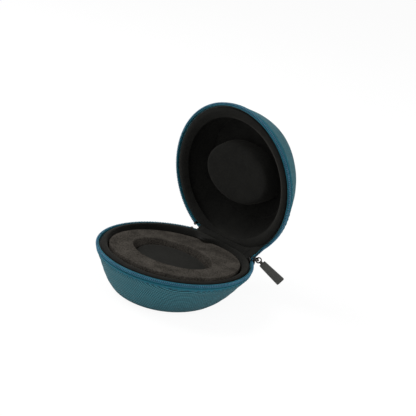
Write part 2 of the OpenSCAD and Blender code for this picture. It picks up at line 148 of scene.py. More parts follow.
@dataclass
class Mesh:
    """A mesh in the making: vertices, faces and one pair of sheet coordinates per vertex."""

    points: list[np.ndarray] = field(default_factory=list)
    faces: list[np.ndarray] = field(default_factory=list)
    sheet: list[np.ndarray] = field(default_factory=list)
    count: int = 0

    def add(self, points: np.ndarray, faces: np.ndarray, sheet: np.ndarray | None = None) -> "Mesh":
        """Add a part whose faces count its own vertices from 0.

        Args:
            points: n by 3 array of places.
            faces: m by 4 array of vertex numbers; a triangle repeats its last number.
            sheet: n by 2 array of coordinates along the cloth or thread, or None for zeros.

        Returns:
            The mesh itself.
        """
        self.points.append(points)
        self.faces.append(faces + self.count)
        self.sheet.append(np.zeros((len(points), 2)) if sheet is None else sheet)
        self.count += len(points)
        return self

    def closed(
        self, rows: np.ndarray, face: Face = Face.AS_LAID, sheet: np.ndarray | None = None
    ) -> "Mesh":
        """Add rings of vertices closed by a pole at each end, at the mean of its ring.

        Args:
            rows: n by m by 3 array, n rings of m vertices.
            face: which way round the quads run.
            sheet: n by m by 2 array of sheet coordinates, or None.

        Returns:
            The mesh itself.
        """
        n, m = rows.shape[:2]
        points = np.vstack([rows.reshape(-1, 3), rows[0].mean(0), rows[-1].mean(0)])
        first, last = fan_faces(n * m, 0, m, False, face), fan_faces(n * m + 1, (n - 1) * m, m, True, face)
        if sheet is not None:
            sheet = np.vstack([sheet.reshape(-1, 2), sheet[0].mean(0), sheet[-1].mean(0)])
        return self.add(points, np.vstack([grid_faces(n, m, False, face), first, last]), sheet)

    def looped(self, rows: np.ndarray) -> "Mesh":
        """Add a grid that closes on itself both ways, as a ring does, and return the mesh."""
        n, m = rows.shape[:2]
        return self.add(rows.reshape(-1, 3), grid_faces(n, m, True, Face.AS_LAID))

    def build(self, name: str, material: bpy.types.Material) -> bpy.types.Object:
        """Put the parts into one smooth Blender object that sits at the origin.

        Args:
            name: the object's name.
            material: its only material.

        Returns:
            The object, linked into the scene.
        """
        points, quads = np.vstack(self.points), np.vstack(self.faces)
        keep = np.ones((len(quads), 4), bool)
        keep[:, 3] = quads[:, 3] != quads[:, 2]
        corners, loops = keep.sum(1), quads[keep]
        mesh = bpy.data.meshes.new(name)
        mesh.vertices.add(len(points))
        mesh.vertices.foreach_set("co", points.astype(np.float32).ravel())
        mesh.loops.add(len(loops))
        mesh.loops.foreach_set("vertex_index", loops.astype(np.int32))
        mesh.polygons.add(len(quads))
        mesh.polygons.foreach_set("loop_start", (np.cumsum(corners) - corners).astype(np.int32))
        mesh.polygons.foreach_set("loop_total", corners.astype(np.int32))
        mesh.polygons.foreach_set("use_smooth", np.ones(len(quads), bool))
        layer = mesh.uv_layers.new(name="sheet")
        layer.data.foreach_set("uv", np.vstack(self.sheet)[loops].astype(np.float32).ravel())
        mesh.materials.append(material)
        mesh.validate()
        mesh.update(calc_edges=True)
        return stand(name, mesh)


def grid_faces(rows: int, columns: int, wrap_rows: bool, face: Face) -> np.ndarray:
    """Number the quads of a grid of vertices whose rows are closed rings.

    Args:
        rows: how many rows.
        columns: how many vertices in a row.
        wrap_rows: whether the last row joins the first.
        face: which way round the quads run.

    Returns:
        One row of four vertex numbers per quad.
    """
    r, c = np.meshgrid(np.arange(rows if wrap_rows else rows - 1), np.arange(columns), indexing="ij")
    here, below = r.ravel() * columns, (r.ravel() + 1) % rows * columns
    c, right = c.ravel(), (c.ravel() + 1) % columns
    quads = np.stack([here + c, here + right, below + right, below + c], -1)
    return quads if face is Face.AS_LAID else quads[:, ::-1]


def fan_faces(pole: int, ring_start: int, columns: int, after: bool, face: Face) -> np.ndarray:
    """Number the triangles between a pole and a closed ring.

    Args:
        pole: the pole's vertex number.
        ring_start: the ring's first vertex number.
        columns: how many vertices the ring has.
        after: True for the pole after the last row, False for the pole before the first.
        face: which way round the grid's quads run.

    Returns:
        One row of four numbers per triangle, the last one repeated.
    """
    c = np.arange(columns)
    a, b = ring_start + c, ring_start + (c + 1) % columns
    if after != (face is Face.REVERSED):
        a, b = b, a
    return np.stack([np.full(columns, pole), b, a, a], -1)


def through(keys: np.ndarray, steps: int, closed: bool = False) -> np.ndarray:
    """Run a smooth curve through each column of key rings.

    A Catmull-Rom curve: between two keys the curve is the cubic that passes through both, with
    slopes of half the step between their neighbours.

    Args:
        keys: k by m by 3 array, or k by 2.
        steps: how many steps from one key to the next.
        closed: whether the last key joins the first.

    Returns:
        The finer rings.
    """
    if closed:
        before, start, after, last = (np.roll(keys, shift, 0) for shift in (1, 0, -1, -2))
    else:
        padded = np.concatenate([keys[:1], keys, keys[-1:]])
        before, start, after, last = (padded[i : i + len(keys) - 1] for i in range(4))
    t = (np.arange(steps) / steps).reshape((-1,) + (1,) * (keys.ndim - 1))
    curve = [
        0.5 * (2 * b + (c - a) * t + (2 * a - 5 * b + 4 * c - d) * t**2 + (3 * b - a - 3 * c + d) * t**3)
        for a, b, c, d in zip(before, start, after, last)
    ]
    return np.concatenate(curve + ([] if closed else [keys[-1:]]))


def arc_length(rows: np.ndarray) -> np.ndarray:
    """Distance along each column of a grid, from its first row."""
    steps = np.linalg.norm(np.diff(rows, axis=0), axis=-1)
    return np.vstack([np.zeros(rows.shape[1]), np.cumsum(steps, 0)])


def eased(share: np.ndarray) -> np.ndarray:
    """A share from 0 to 1 that starts and ends gently: three times its square less twice its cube."""
    return share**2 * (3 - 2 * share)


def squared(value: np.ndarray, power: float) -> np.ndarray:
    """A sine or cosine raised to a power with its sign kept; a low power squares a circle off."""
    return np.sign(value) * np.abs(value) ** power


def outward(rows: np.ndarray) -> np.ndarray:
    """The level direction of each point away from the middle of the half."""
    return rows[..., :2] / np.linalg.norm(rows[..., :2], axis=-1, keepdims=True)


def tube(mesh: Mesh, path: np.ndarray, side: np.ndarray, radius: np.ndarray, sides: int) -> Mesh:
    """Carry a round section along a path and close both ends.

    Each ring is the circle of the given radius in the plane square to the path; side is a
    direction that is never along the path, and it sets where the ring starts.

    Args:
        mesh: the mesh to add to.
        path: n by 3 array of places.
        side: n by 3 array of directions, or one direction.
        radius: n radii, or one.
        sides: vertices round the section.

    Returns:
        The mesh.
    """
    along = np.gradient(path, axis=0)
    along /= np.linalg.norm(along, axis=1, keepdims=True)
    across = np.cross(along, np.broadcast_to(side, path.shape))
    across /= np.linalg.norm(across, axis=1, keepdims=True)
    over = np.cross(along, across)
    turn = np.arange(sides) * FULL_TURN / sides
    r = np.broadcast_to(np.asarray(radius, float), (len(path),))[:, None, None]
    ring = np.cos(turn)[None, :, None] * across[:, None] + np.sin(turn)[None, :, None] * over[:, None]
    sheet = np.stack(np.broadcast_arrays(arc_length(path[:, None]), turn * r.mean()), -1)
    return mesh.closed(path[:, None] + r * ring, Face.REVERSED, sheet)


def rounded_block(half: tuple[float, float, float], edge: float) -> np.ndarray:
    """A box with soft edges, as rings round its third axis.

    A superellipsoid: a sphere's sines and cosines, each raised to the power edge with its sign
    kept, so 1 gives an ellipsoid and a small edge gives a box.

    Args:
        half: half sizes along the three axes.
        edge: softness of the edges, from 0.1 for crisp to 1 for round.

    Returns:
        20 by 40 by 3 array.
    """
    tilt, turn = np.meshgrid(
        np.linspace(-0.5, 0.5, 22)[1:-1] * math.pi, np.arange(40) * FULL_TURN / 40, indexing="ij"
    )
    level = squared(np.cos(tilt), edge)
    x, y = half[0] * level * squared(np.cos(turn), edge), half[1] * level * squared(np.sin(turn), edge)
    return np.stack([x, y, half[2] * squared(np.sin(tilt), edge)], -1)


# ---------------------------------------------------------------- the case's form


@dataclass(frozen=True)
class CaseForm:
    """Sizes that both halves share, and the surfaces that follow from them."""

    rim_r: float = 57 * MM
    half_depth: float = 31.8 * MM
    hinge_back: float = 51 * MM
    foot_r: float = 30 * MM
    foot_forward: float = 8.8 * MM
    foot_draw: float = 0.3
    band_h: float = 5.2 * MM
    fullness: float = 2.05
    open_angle: float = math.radians(82.8)
    fabric_t: float = 0.6 * MM
    wall_in: float = 3.0 * MM
    lining_t: float = 0.8 * MM
    tape_t: float = 0.4 * MM
    touch: float = 0.1 * MM
    shell_top: float = 2.65 * MM
    corner: float = 24

    @property
    def tape_in_r(self) -> float:
        """Radius of the zip tape's inner face."""
        return self.rim_r - self.tape_t

    @property
    def dome_r(self) -> float:
        """Radius of the outer cloth at the rim."""
        return self.tape_in_r - self.touch

    @property
    def flat_back(self) -> float:
        """Distance of the flat hinge face from the rim's centre."""
        return self.hinge_back - 2 * self.touch

    def turn_back(self, y: np.ndarray, limit: float) -> np.ndarray:
        """Let y turn smoothly into a flat face at limit; y below zero stays as it is."""
        held = np.maximum(y, 0)
        return np.where(y <= 0, y, held / (1 + (held / limit) ** self.corner) ** (1 / self.corner))

    def outline(self, r: float, z: float, az: np.ndarray) -> np.ndarray:
        """The rim's outline at radius r and height z: a circle with its flat hinge face."""
        y = self.turn_back(r * np.sin(az), r - (self.dome_r - self.flat_back))
        return np.stack([r * np.cos(az), y, np.full_like(az, z)], -1)

    def bowl(self, level: np.ndarray, inset: float, az: np.ndarray) -> np.ndarray:
        """A layer of the bowl, from its flat foot at level 0 to the rim at level 1.

        Each ring is the straight mix of the foot and the rim, and its depth falls with the level
        raised to the power of the bowl's fullness.

        Args:
            level: n levels.
            inset: depth of the layer below the outer cloth.
            az: m azimuths.

        Returns:
            n by m by 3 array.
        """
        s = np.asarray(level, float)[:, None]
        foot, rim = self.foot_r - self.foot_draw * inset, self.dome_r - inset
        reach = foot + (rim - foot) * s
        y = -self.foot_forward * (1 - s) + reach * np.sin(az)
        y = self.turn_back(y, self.flat_back - inset)
        z = -self.band_h - (self.half_depth - inset - self.band_h) * (1 - s**self.fullness)
        return np.stack(np.broadcast_arrays(reach * np.cos(az), y, z), -1)

    def place(self, half: Half, points: np.ndarray) -> np.ndarray:
        """Carry points from a half's own frame to where that half stands.

        Args:
            half: the base or the lid.
            points: any array whose last axis is x, y, z.

        Returns:
            The points in the part's frame.
        """
        if half is Half.BASE:
            return points + np.array([0, 0, self.half_depth])
        return self.swing(points, self.open_angle)

    def swing(self, points: np.ndarray, angle: np.ndarray | float) -> np.ndarray:
        """Carry points of the lid's own frame to where they stand when the lid is opened.

        Args:
            points: any array whose last axis is x, y, z.
            angle: how far the lid is open, one number or one for each point.

        Returns:
            The points in the part's frame.
        """
        cos, sin = np.cos(angle), np.sin(angle)
        out, up = points[..., 1] - self.hinge_back, -points[..., 2]
        return self.fold_point(points[..., 0], out * cos + up * sin, up * cos - out * sin)

    def fold_point(self, x: np.ndarray, y: np.ndarray, z: np.ndarray) -> np.ndarray:
        """Places given from the hinge fold: y to the rear of it and z above it."""
        return np.stack(np.broadcast_arrays(x, y + self.hinge_back, z + self.half_depth), -1)


@dataclass(frozen=True)
class ZipEnds:
    """Azimuths where the tapes, coils and seams begin and end, going round by the front."""

    left: float = math.radians(121.512)
    tape_left: float = math.radians(117.6)
    coil_left: float = math.radians(123.42)
    right: float = FULL_TURN + math.radians(58.488)
    coil_right: float = FULL_TURN + math.radians(56.578)
    lid_right: float = FULL_TURN + math.radians(45.04)


FORM = CaseForm()
ENDS = ZipEnds()
AROUND = np.arange(336) * FULL_TURN / 336


def hump(az: np.ndarray, middle: float, reach: float) -> np.ndarray:
    """A smooth hump of height 1 on the way round: a bell curve of the angle from its middle.

    Args:
        az: azimuths.
        middle: azimuth of the top, in degrees.
        reach: angle at which the hump has fallen to 1/e, in degrees.

    Returns:
        The hump's height at each azimuth.
    """
    away = np.mod(np.degrees(az) - middle + 180, 360) - 180
    return np.exp(-((away / reach) ** 2))


def oval_ring(a: float, b: float, shift: float, z: float) -> np.ndarray:
    """An oval of half axes a and b, with its centre shifted along Y, at height z."""
    return np.stack([a * np.cos(AROUND), shift + b * np.sin(AROUND), np.full_like(AROUND, z)], -1)


def round_rim(r: np.ndarray, z: np.ndarray, az: np.ndarray) -> np.ndarray:
    """Places at radius r and height z, at azimuth az about the rim's centre."""
    return np.stack(np.broadcast_arrays(r * np.cos(az), r * np.sin(az), z), -1)


def face_of(half: Half, face: Face) -> Face:
    """Turn a winding round for the lid, which is a mirror image."""
    return face if half is Half.BASE else Face(-face.value)


# ---------------------------------------------------------------- finishes


@dataclass(frozen=True)
class Finish:
    """What every finish has: a name, colours on its crests and in its hollows, and roughness."""

    name: str
    colour: str
    shade: str
    roughness: float
    relief: float = 0.1 * MM

    def start(self) -> tuple[bpy.types.Material, bpy.types.NodeTree, bpy.types.Node]:
        """Make an empty material with one shader joined to its output.

        Returns:
            The material, its node tree and its Principled shader.
        """
        material = bpy.data.materials.new(self.name)
        tree = empty_tree(material)
        plain = {"Base Color": linear(self.colour), "Roughness": self.roughness}
        shader = add_node(tree, "BsdfPrincipled", plain)
        add_node(tree, "OutputMaterial", {"Surface": shader.outputs["BSDF"]})
        return material, tree, shader

    def join(
        self, shader: bpy.types.Node, colour: bpy.types.NodeSocket, height: bpy.types.NodeSocket,
        values: dict[str, object],
    ) -> None:
        """Feed the shader its colour and its relief, and set its plain values.

        Args:
            shader: the material's Principled shader.
            colour: the socket that gives the colour.
            height: the socket that gives the height, as a share of the relief.
            values: input name against value.
        """
        tree = shader.id_data
        bump = add_node(tree, "Bump", {"Height": height, "Distance": self.relief, "Strength": 1.0})
        tree.links.new(colour, shader.inputs["Base Color"])
        tree.links.new(bump.outputs[0], shader.inputs["Normal"])
        for name, value in values.items():
            shader.inputs[name].default_value = value


@dataclass(frozen=True)
class WovenCloth(Finish):
    """Polyester cloth woven in thick yarn. Crossing yarns raise diagonal ribs, one way stronger; the hollows
    between them are painted dark as shade.
    """

    rib: float = 1.45 * MM
    lean: float = math.radians(45)
    cross: float = 0.4
    crest: float = 0.75
    yarn: float = 0.5 * MM
    cloud: float = 9 * MM
    relief: float = 0.22 * MM
    sheen: float = 0.25

    def build(self) -> bpy.types.Material:
        """Raise ribs as two crossed sine waves on the flat sheet's own coordinates, and paint shade into the
        hollows between them.

        Returns:
            The material.
        """
        material, tree, shader = self.start()
        place = add_node(tree, "UVMap", uv_map="sheet").outputs[0]
        lay = {"Vector": place, "Rotation": (0, 0, self.lean), "Scale": (FULL_TURN / self.rib,) * 3}
        axes = add_node(tree, "SeparateXYZ", {0: add_node(tree, "Mapping", lay).outputs[0]}).outputs
        strong, cross = (add_node(tree, "Math", {0: axis}, operation="SINE").outputs[0] for axis in axes[:2])
        weak = add_node(tree, "Math", {0: cross, 1: self.cross}, operation="MULTIPLY").outputs[0]
        both = add_node(tree, "Math", {0: strong, 1: weak}, operation="ADD").outputs[0]
        ribs = add_node(tree, "MapRange", {0: both, 1: -self.crest, 2: self.crest}).outputs[0]
        cloud, yarn = (
            add_node(tree, "TexNoise", {"Vector": place, "Scale": 1 / size, "Detail": detail}).outputs[0]
            for size, detail in ((self.cloud, 3), (self.yarn, 2))
        )
        rough = add_node(tree, "MapRange", {0: yarn, 3: -0.2, 4: 0.2}).outputs[0]
        mound = add_node(tree, "Math", {0: ribs, 1: rough}, operation="ADD").outputs[0]
        # Painted shade: the colour falls from the crests to the near-black shade colour in the rib hollows.
        ends = {0: mound, 6: linear(self.shade), 7: linear(self.colour)}
        tint = add_node(tree, "Mix", ends, data_type="RGBA").outputs[2]
        shift = add_node(tree, "MapRange", {0: cloud, 3: 0.92, 4: 1.08}).outputs[0]
        varied = add_node(tree, "HueSaturation", {"Color": tint, "Value": shift}).outputs[0]
        values = {"Specular IOR Level": 0.15, "Sheen Weight": self.sheen, "Sheen Roughness": 0.4}
        self.join(shader, varied, mound, values)
        return material


@dataclass(frozen=True)
class Grained(Finish):
    """A surface whose grain is noise at two sizes: pile, foam, moulded plastic or plated metal."""

    grain: float = 1.2 * MM
    cloud: float = 9 * MM
    cloud_share: float = 0.35
    contrast: float = 1.0
    metallic: float = 0.0
    specular: float = 0.3
    sheen: float = 0.0
    sheen_colour: str = "#ffffff"

    def build(self) -> bpy.types.Material:
        """Drive colour and relief by fine grain and soft clouds on Object coordinates.

        Returns:
            The material.
        """
        material, tree, shader = self.start()
        spot = add_node(tree, "TexCoord").outputs["Object"]
        fine, soft = (
            add_node(tree, "TexNoise", {"Vector": spot, "Scale": 1 / size, "Detail": detail}).outputs[0]
            for size, detail in ((self.grain, 3), (self.cloud, 2))
        )
        mixed = add_node(tree, "Mix", {0: self.cloud_share, 2: fine, 3: soft}, data_type="FLOAT").outputs[0]
        reach = 0.25 / self.contrast
        spread = add_node(tree, "MapRange", {0: mixed, 1: 0.5 - reach, 2: 0.5 + reach}).outputs[0]
        values = {
            "Metallic": self.metallic, "Specular IOR Level": self.specular, "Sheen Weight": self.sheen,
            "Sheen Roughness": 0.5, "Sheen Tint": linear(self.sheen_colour),
        }
        ends = {0: spread, 6: linear(self.shade), 7: linear(self.colour)}
        self.join(shader, add_node(tree, "Mix", ends, data_type="RGBA").outputs[2], fine, values)
        return material


# Solution-dyed polyester oxford, woven from thick filament yarn: matt, with a faint silky edge.
# Its diagonal ribs stand 1.45 mm apart and its yarn is 0.5 mm thick.
# The near-black colour in the hollows of its ribs is painted shade.
OUTER_CLOTH = WovenCloth("woven_polyester_teal", "#427d89", "#06151b", 0.8, sheen=0.04)
# Woven polyester zip tape, ribbed across: a little bluer and smoother than the cloth. Its ribs are
# drawn 0.68 mm apart, coarser than real ones, so that they show.
# The dark colour in the hollows of its ribs is painted shade.
ZIP_TAPE = WovenCloth(
    "woven_tape_teal", "#2a7c8e", "#0e3643", 0.6, rib=0.68 * MM, lean=0.0, cross=0.15,
    relief=0.1 * MM, sheen=0.05,
)
# Twisted polyester sewing thread, one twist in 0.5 mm: coloured darker than the tape as painted shade for
# the groove that it lies in, with painted shade in the hollows of its twist.
THREAD = WovenCloth(
    "sewing_thread_teal", "#2c5f72", "#153744", 0.6, rib=0.5 * MM, lean=math.radians(35),
    cross=0.0, relief=0.05 * MM, sheen=0.2,
)
# Extruded nylon monofilament: smooth, so each turn of the coil carries a small highlight.
COIL_NYLON = Grained(
    "nylon_coil_teal", "#206c88", "#124a62", 0.38, grain=2 * MM, relief=0.01 * MM, specular=0.5,
)
# Twisted cord inside the coil, seen in the gaps between its turns: a real part, coloured darker than the
# coil as painted shade for those gaps.
COIL_CORD = Grained("coil_cord_teal_painted_shade", "#12303d", "#0b202a", 0.8, relief=0.02 * MM, specular=0.1)
# Brushed pile lining: short black fibres that catch light only at a grazing angle. One fibre is too
# fine to show, so tufts of 1.3 mm are drawn.
PILE = Grained(
    "brushed_pile_black", "#161614", "#0b0b0a", 0.95, grain=1.3 * MM, cloud=7 * MM,
    cloud_share=0.45, relief=0.12 * MM, contrast=1.3, specular=0.1, sheen=0.12, sheen_colour="#8a8880",
)
# Open-cell polyurethane foam, die-cut: grey-brown, speckled by its cells, which are drawn at
# 0.8 mm, coarser than real ones, so that they show.
RING_FOAM = Grained(
    "open_cell_foam_grey", "#4b4742", "#23211e", 0.95, grain=0.8 * MM, cloud=10 * MM,
    cloud_share=0.3, relief=0.25 * MM, contrast=2.0, specular=0.0,
)
# Pressed EVA sheet, hidden between cloth and lining: matt grey.
EVA = Grained("pressed_eva_grey", "#3c3c3c", "#2e2e2e", 0.85, grain=2 * MM, relief=0.02 * MM)
# Die-cast zinc with a dark nickel plate: smooth metal, with slight casting waves.
PLATED_ZINC = Grained(
    "dark_nickel_plate", "#454443", "#2f2e2d", 0.38, grain=1.5 * MM, relief=0.02 * MM,
    metallic=1.0, specular=0.5,
)
# Soft moulded PVC: dark grey and satin. Its spark-eroded grain is drawn at 0.4 mm, coarser than a
# real one, so that it shows.
GRIP_PVC = Grained(
    "moulded_pvc_grey", "#3e3e3b", "#2b2b29", 0.5, grain=0.4 * MM, relief=0.02 * MM, specular=0.4,
)


class Palette:
    """One material of each finish, made once."""

    def __init__(self) -> None:
        """Build every material."""
        self.cloth = OUTER_CLOTH.build()
        self.tape = ZIP_TAPE.build()
        self.thread = THREAD.build()
        self.coil = COIL_NYLON.build()
        self.cord = COIL_CORD.build()
        self.pile = PILE.build()
        self.foam = RING_FOAM.build()
        self.eva = EVA.build()
        self.metal = PLATED_ZINC.build()
        self.grip = GRIP_PVC.build()


@dataclass
class SubAssembly:
    """Pieces that are made together, and the finishes that they are given."""

    palette: Palette


def name_piece(piece: bpy.types.Object, nodes: tuple[str, ...]) -> None:
    """Hide the CAD nodes that a finished piece replaces, and log it.

    Args:
        piece: the finished object.
        nodes: the CAD nodes that it replaces, if any.
    """
    if nodes:
        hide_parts(*nodes)
    log.info("%s: %d faces", piece.name, len(piece.data.polygons))


def settle(piece: bpy.types.Object, body: str, slot: str, *nodes: str) -> None:
    """Fix a finished piece to one body.

    Args:
        piece: the finished object.
        body: the CAD body that it rides on.
        slot: not used.
        *nodes: the CAD nodes that it replaces.
    """
    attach(piece, body)
    name_piece(piece, nodes)


def bend(piece: bpy.types.Object, start: np.ndarray, end: np.ndarray, slot: str, *nodes: str) -> None:
    """Bake a soft piece's transform into its mesh, hide the CAD nodes that it replaces, and log it.

    Args:
        piece: the finished object.
        start: not used.
        end: not used.
        slot: not used.
        *nodes: the CAD nodes that it replaces.
    """
    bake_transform(piece)
    name_piece(piece, nodes)


# ---------------------------------------------------------------- bowl and lining


@dataclass
class BowlCover(SubAssembly):
    """The outer cloth of one half: stretched over the bowl, and swelling where it leaves the seam."""

    half: Half
    swell: float = 0.55 * MM
    swell_z: float = -7.4 * MM
    swell_reach: float = 1.7 * MM
    waver: float = 0.08 * MM
    waver_fade: float = 4 * MM

    def outer_rows(self) -> np.ndarray:
        """Work out the visible face, with the swell as a bell curve of the height.

        Returns:
            Its rings, from the flat foot to the top edge.
        """
        bowl = FORM.bowl(np.linspace(0, 1, 78), 0, AROUND)
        centre = np.array([0, -FORM.foot_forward, -FORM.half_depth])
        cap = centre + np.linspace(0.08, 0.92, 8)[:, None, None] * (bowl[0] - centre)
        heights = np.linspace(-FORM.band_h, -FORM.shell_top, 6)[1:]
        band = np.stack([FORM.outline(FORM.dome_r, z, AROUND) for z in heights])
        rows = np.concatenate([cap, bowl, band])
        z = rows[..., 2]
        swell = self.swell * np.exp(-(((z - self.swell_z) / self.swell_reach) ** 2))
        drift = self.waver * (np.sin(3 * AROUND + 40 * z / FORM.half_depth) + np.sin(7 * AROUND + 1.3))
        below_band = np.clip(-(z + FORM.band_h) / self.waver_fade, 0, 1)
        above_foot = np.clip((z + FORM.half_depth) / self.waver_fade, 0, 1)
        rows[..., :2] += outward(rows) * (swell + drift * below_band * above_foot)[..., None]
        return rows

    def make(self) -> None:
        """Build the cloth as one closed sheet and dress it."""
        outer, name = self.outer_rows(), self.half.value
        edge = FORM.outline(FORM.dome_r - FORM.fabric_t, -FORM.shell_top, AROUND)[None]
        rows = np.concatenate([outer, edge, FORM.bowl(np.linspace(1, 0, 20), FORM.fabric_t, AROUND)])
        run = arc_length(outer) + np.linalg.norm(outer[0] - outer[0].mean(0), axis=-1)
        run = np.vstack([run, np.repeat(run[-1:], len(rows) - len(run), 0)])
        sheet = np.stack([run * np.cos(AROUND), run * np.sin(AROUND)], -1)
        mesh = Mesh().closed(FORM.place(self.half, rows), face_of(self.half, Face.AS_LAID), sheet)
        settle(mesh.build(f"{name}_cloth", self.palette.cloth), name, "outer_cloth", f"{name}_fabric")


@dataclass
class Lining(SubAssembly):
    """The pile lining of one half: flange, lip, wall, trough floor and raised boss."""

    half: Half
    flange_side: float
    flange_front: float
    flange_rear: float = 4 * MM
    lip_depth: float = 3.6 * MM
    crown_depth: float = 0.6 * MM
    crown_in: float = 1.1 * MM
    groove_drop: float = 1.3 * MM
    groove_in_r: float = 55.0 * MM
    boss_x: float = 31.2 * MM
    boss_y: float = 22.8 * MM
    boss_forward: float = 2.9 * MM
    boss_depth: float = 6.8 * MM
    boss_round: float = 3.5 * MM
    boss_draft: float = 1.6 * MM
    floor_level: float = 0.42
    puff: float = 0.3 * MM
    roll: float = 5.0
    rise: float = 0.0
    overhang: float = 0.0
    overhang_az: float = 103
    overhang_reach: float = 7

    def boss_keys(self, inset: float, foot_z: float) -> list[np.ndarray]:
        """Shape the raised boss: ovals that shrink as they rise from its foot to its flat top.

        Args:
            inset: depth of the layer below the visible face.
            foot_z: height of the boss's foot.

        Returns:
            Its rings, from the foot up.
        """
        top, soft, draft = -self.boss_depth, self.boss_round, self.boss_draft
        steps = [
            (draft, foot_z),
            (draft * 0.55, (foot_z + top - soft) / 2),
            (0.0, top - soft * 0.8),
            (-soft * 0.35, top - soft * 0.18),
            (-soft, top),
            (-soft * 2.2, top),
        ]
        return [
            oval_ring(
                self.boss_x + spread - inset, self.boss_y + spread - inset, -self.boss_forward,
                z - inset * (z != foot_z),
            )
            for spread, z in steps
        ]

    def flange_keys(self) -> list[np.ndarray]:
        """Mix the crown and the lip, falling with the share raised to the power of the roll.

        Returns:
            Rings from the groove behind the coil over the puffed flange to the lip.
        """
        top, groove = self.rise - self.crown_depth, self.groove_in_r
        rear, front = FORM.hinge_back - self.flange_rear, FORM.rim_r - self.flange_front
        lip_x, lip_y, shift = FORM.rim_r - self.flange_side, (rear + front) / 2, (rear - front) / 2
        crown = FORM.outline(groove - self.crown_in, top, AROUND)
        lip = oval_ring(lip_x, lip_y, shift, -self.lip_depth)
        keys = [
            FORM.outline(groove, -self.crown_depth - self.groove_drop, AROUND),
            FORM.outline(groove - 0.2 * MM, top - 0.4 * MM, AROUND),
            crown,
        ]
        for share in (0.35, 0.65, 0.85, 0.96, 1.0):
            ring = crown + (lip - crown) * share
            fall = (self.lip_depth + top) * share**self.roll
            ring[:, 2] = top - fall + self.puff * math.sin(math.pi * share)
            keys.append(self.drawn_in(ring, share**2))
        below = oval_ring(lip_x + 0.15 * MM, lip_y + 0.1 * MM, shift, -self.lip_depth - 0.7 * MM)
        return [*keys, self.drawn_in(below, 0.5)]

    def drawn_in(self, ring: np.ndarray, share: float) -> np.ndarray:
        """Let the lining hang over to the middle where the hinge's fold pushes it in.

        Args:
            ring: one ring of the lining, which is changed.
            share: share of the whole overhang.

        Returns:
            The same ring.
        """
        push = self.overhang * share * hump(AROUND, self.overhang_az, self.overhang_reach)
        ring[:, :2] -= outward(ring) * push[:, None]
        lifted = np.minimum(ring[:, 2] + 0.3 * push, self.rise - self.crown_depth + FORM.touch)
        ring[:, 2] = np.maximum(ring[:, 2], lifted)
        return ring

    def make(self) -> None:
        """Build the lining as one closed sheet and dress it."""
        under, bottom, name = FORM.wall_in, FORM.touch - FORM.shell_top, self.half.value
        levels = np.array([1.0, 0.93, 0.86, 0.78, 0.7, 0.62, 0.54, 0.47, self.floor_level])
        wall = FORM.bowl(levels, under + FORM.lining_t, AROUND)
        boss = self.boss_keys(0, wall[-1, 0, 2])
        visible = through(np.stack([*self.flange_keys(), *wall, *boss]), 4)
        under_wall = FORM.bowl(levels, under, AROUND)
        hidden = [
            *reversed(self.boss_keys(FORM.lining_t, under_wall[-1, 0, 2])),
            *under_wall[::-1],
            FORM.outline(FORM.dome_r - under, bottom, AROUND),
            FORM.outline(self.groove_in_r, bottom, AROUND),
        ]
        rows = FORM.place(self.half, np.concatenate([np.stack(hidden), visible]))
        mesh = Mesh().closed(rows, face_of(self.half, Face.AS_LAID))
        settle(mesh.build(f"{name}_pile_lining", self.palette.pile), name, "lining_pile", f"{name}_lining")


@dataclass
class FoamRing(SubAssembly):
    """The loose die-cut foam ring that lies in the base, round the boss.

    The cut edge strays from its oval, because soft foam is pressed in by the lining: each stray
    is a hump with its height in millimetres, and its azimuth and reach in degrees.
    """

    thickness: float = 9 * MM
    half_x: float = 49.9 * MM
    half_y: float = 46.3 * MM
    shift: float = -0.6 * MM
    hole_x: float = 32.9 * MM
    hole_y: float = 24.5 * MM
    hole_shift: float = -2.9 * MM
    depth: float = 3.2 * MM
    tilt: float = math.radians(2.5)
    lean: float = math.radians(2.3)
    edge: float = 0.5 * MM
    hole_edge: float = 1.5 * MM
    waver: float = 0.12 * MM
    strays: tuple[tuple[float, float, float], ...] = (
        (0.9, 58, 30), (-1.2, 100, 13), (0.5, 140, 16), (0.6, 230, 14), (-0.8, 268, 18),
    )

    def make(self) -> None:
        """Build the ring with barely softened edges, lay it on the wall's slope and dress it."""
        t = self.thickness
        soft = np.array([(-2, 0), (-0.9, 0.05), (-0.25, 0.3), (0, 1), (0, 3)])
        outer = [(-t, 2.7 * MM), (-t * 0.75, 1.4 * MM), (-t * 0.5, 0.05 * MM), *soft * self.edge]
        inner = [*soft[::-1] * self.hole_edge, (-t * 0.5, 0.0), (-t * 0.9, 0.0), (-t, 1.2 * MM)]
        keys = [oval_ring(self.half_x - d, self.half_y - d, self.shift, z) for z, d in outer]
        keys += [oval_ring(self.hole_x + d, self.hole_y + d, self.hole_shift, z) for z, d in inner]
        rows = through(np.stack(keys), 4, closed=True)
        top = np.clip((rows[..., 2] + t) / t, 0, 1)
        reach = np.linalg.norm(rows[..., :2], axis=-1)
        share = top * np.clip((reach - self.hole_x) / (self.half_y - self.hole_x), 0, 1)
        stray = MM * sum(height * hump(AROUND, az, wide) for height, az, wide in self.strays)
        rows[..., :2] += outward(rows) * (share * stray)[..., None]
        rows[..., 2] += self.waver * top * (np.sin(2 * AROUND + 0.6) + 0.6 * np.sin(5 * AROUND))
        rear = self.shift + self.half_y
        cos, sin = math.cos(self.tilt), math.sin(self.tilt)
        x, y, z = rows[..., 0], rows[..., 1] - rear, rows[..., 2]
        y, z = y * cos + z * sin, -y * sin + z * cos
        cos, sin = math.cos(self.lean), math.sin(self.lean)
        rows = np.stack([x * cos - z * sin, rear + y, x * sin + z * cos - self.depth], -1)
        piece = Mesh().looped(FORM.place(Half.BASE, rows)).build("foam_ring_soft", self.palette.foam)
        settle(piece, "base", "ring_foam", "foam_ring")


# ---------------------------------------------------------------- zip


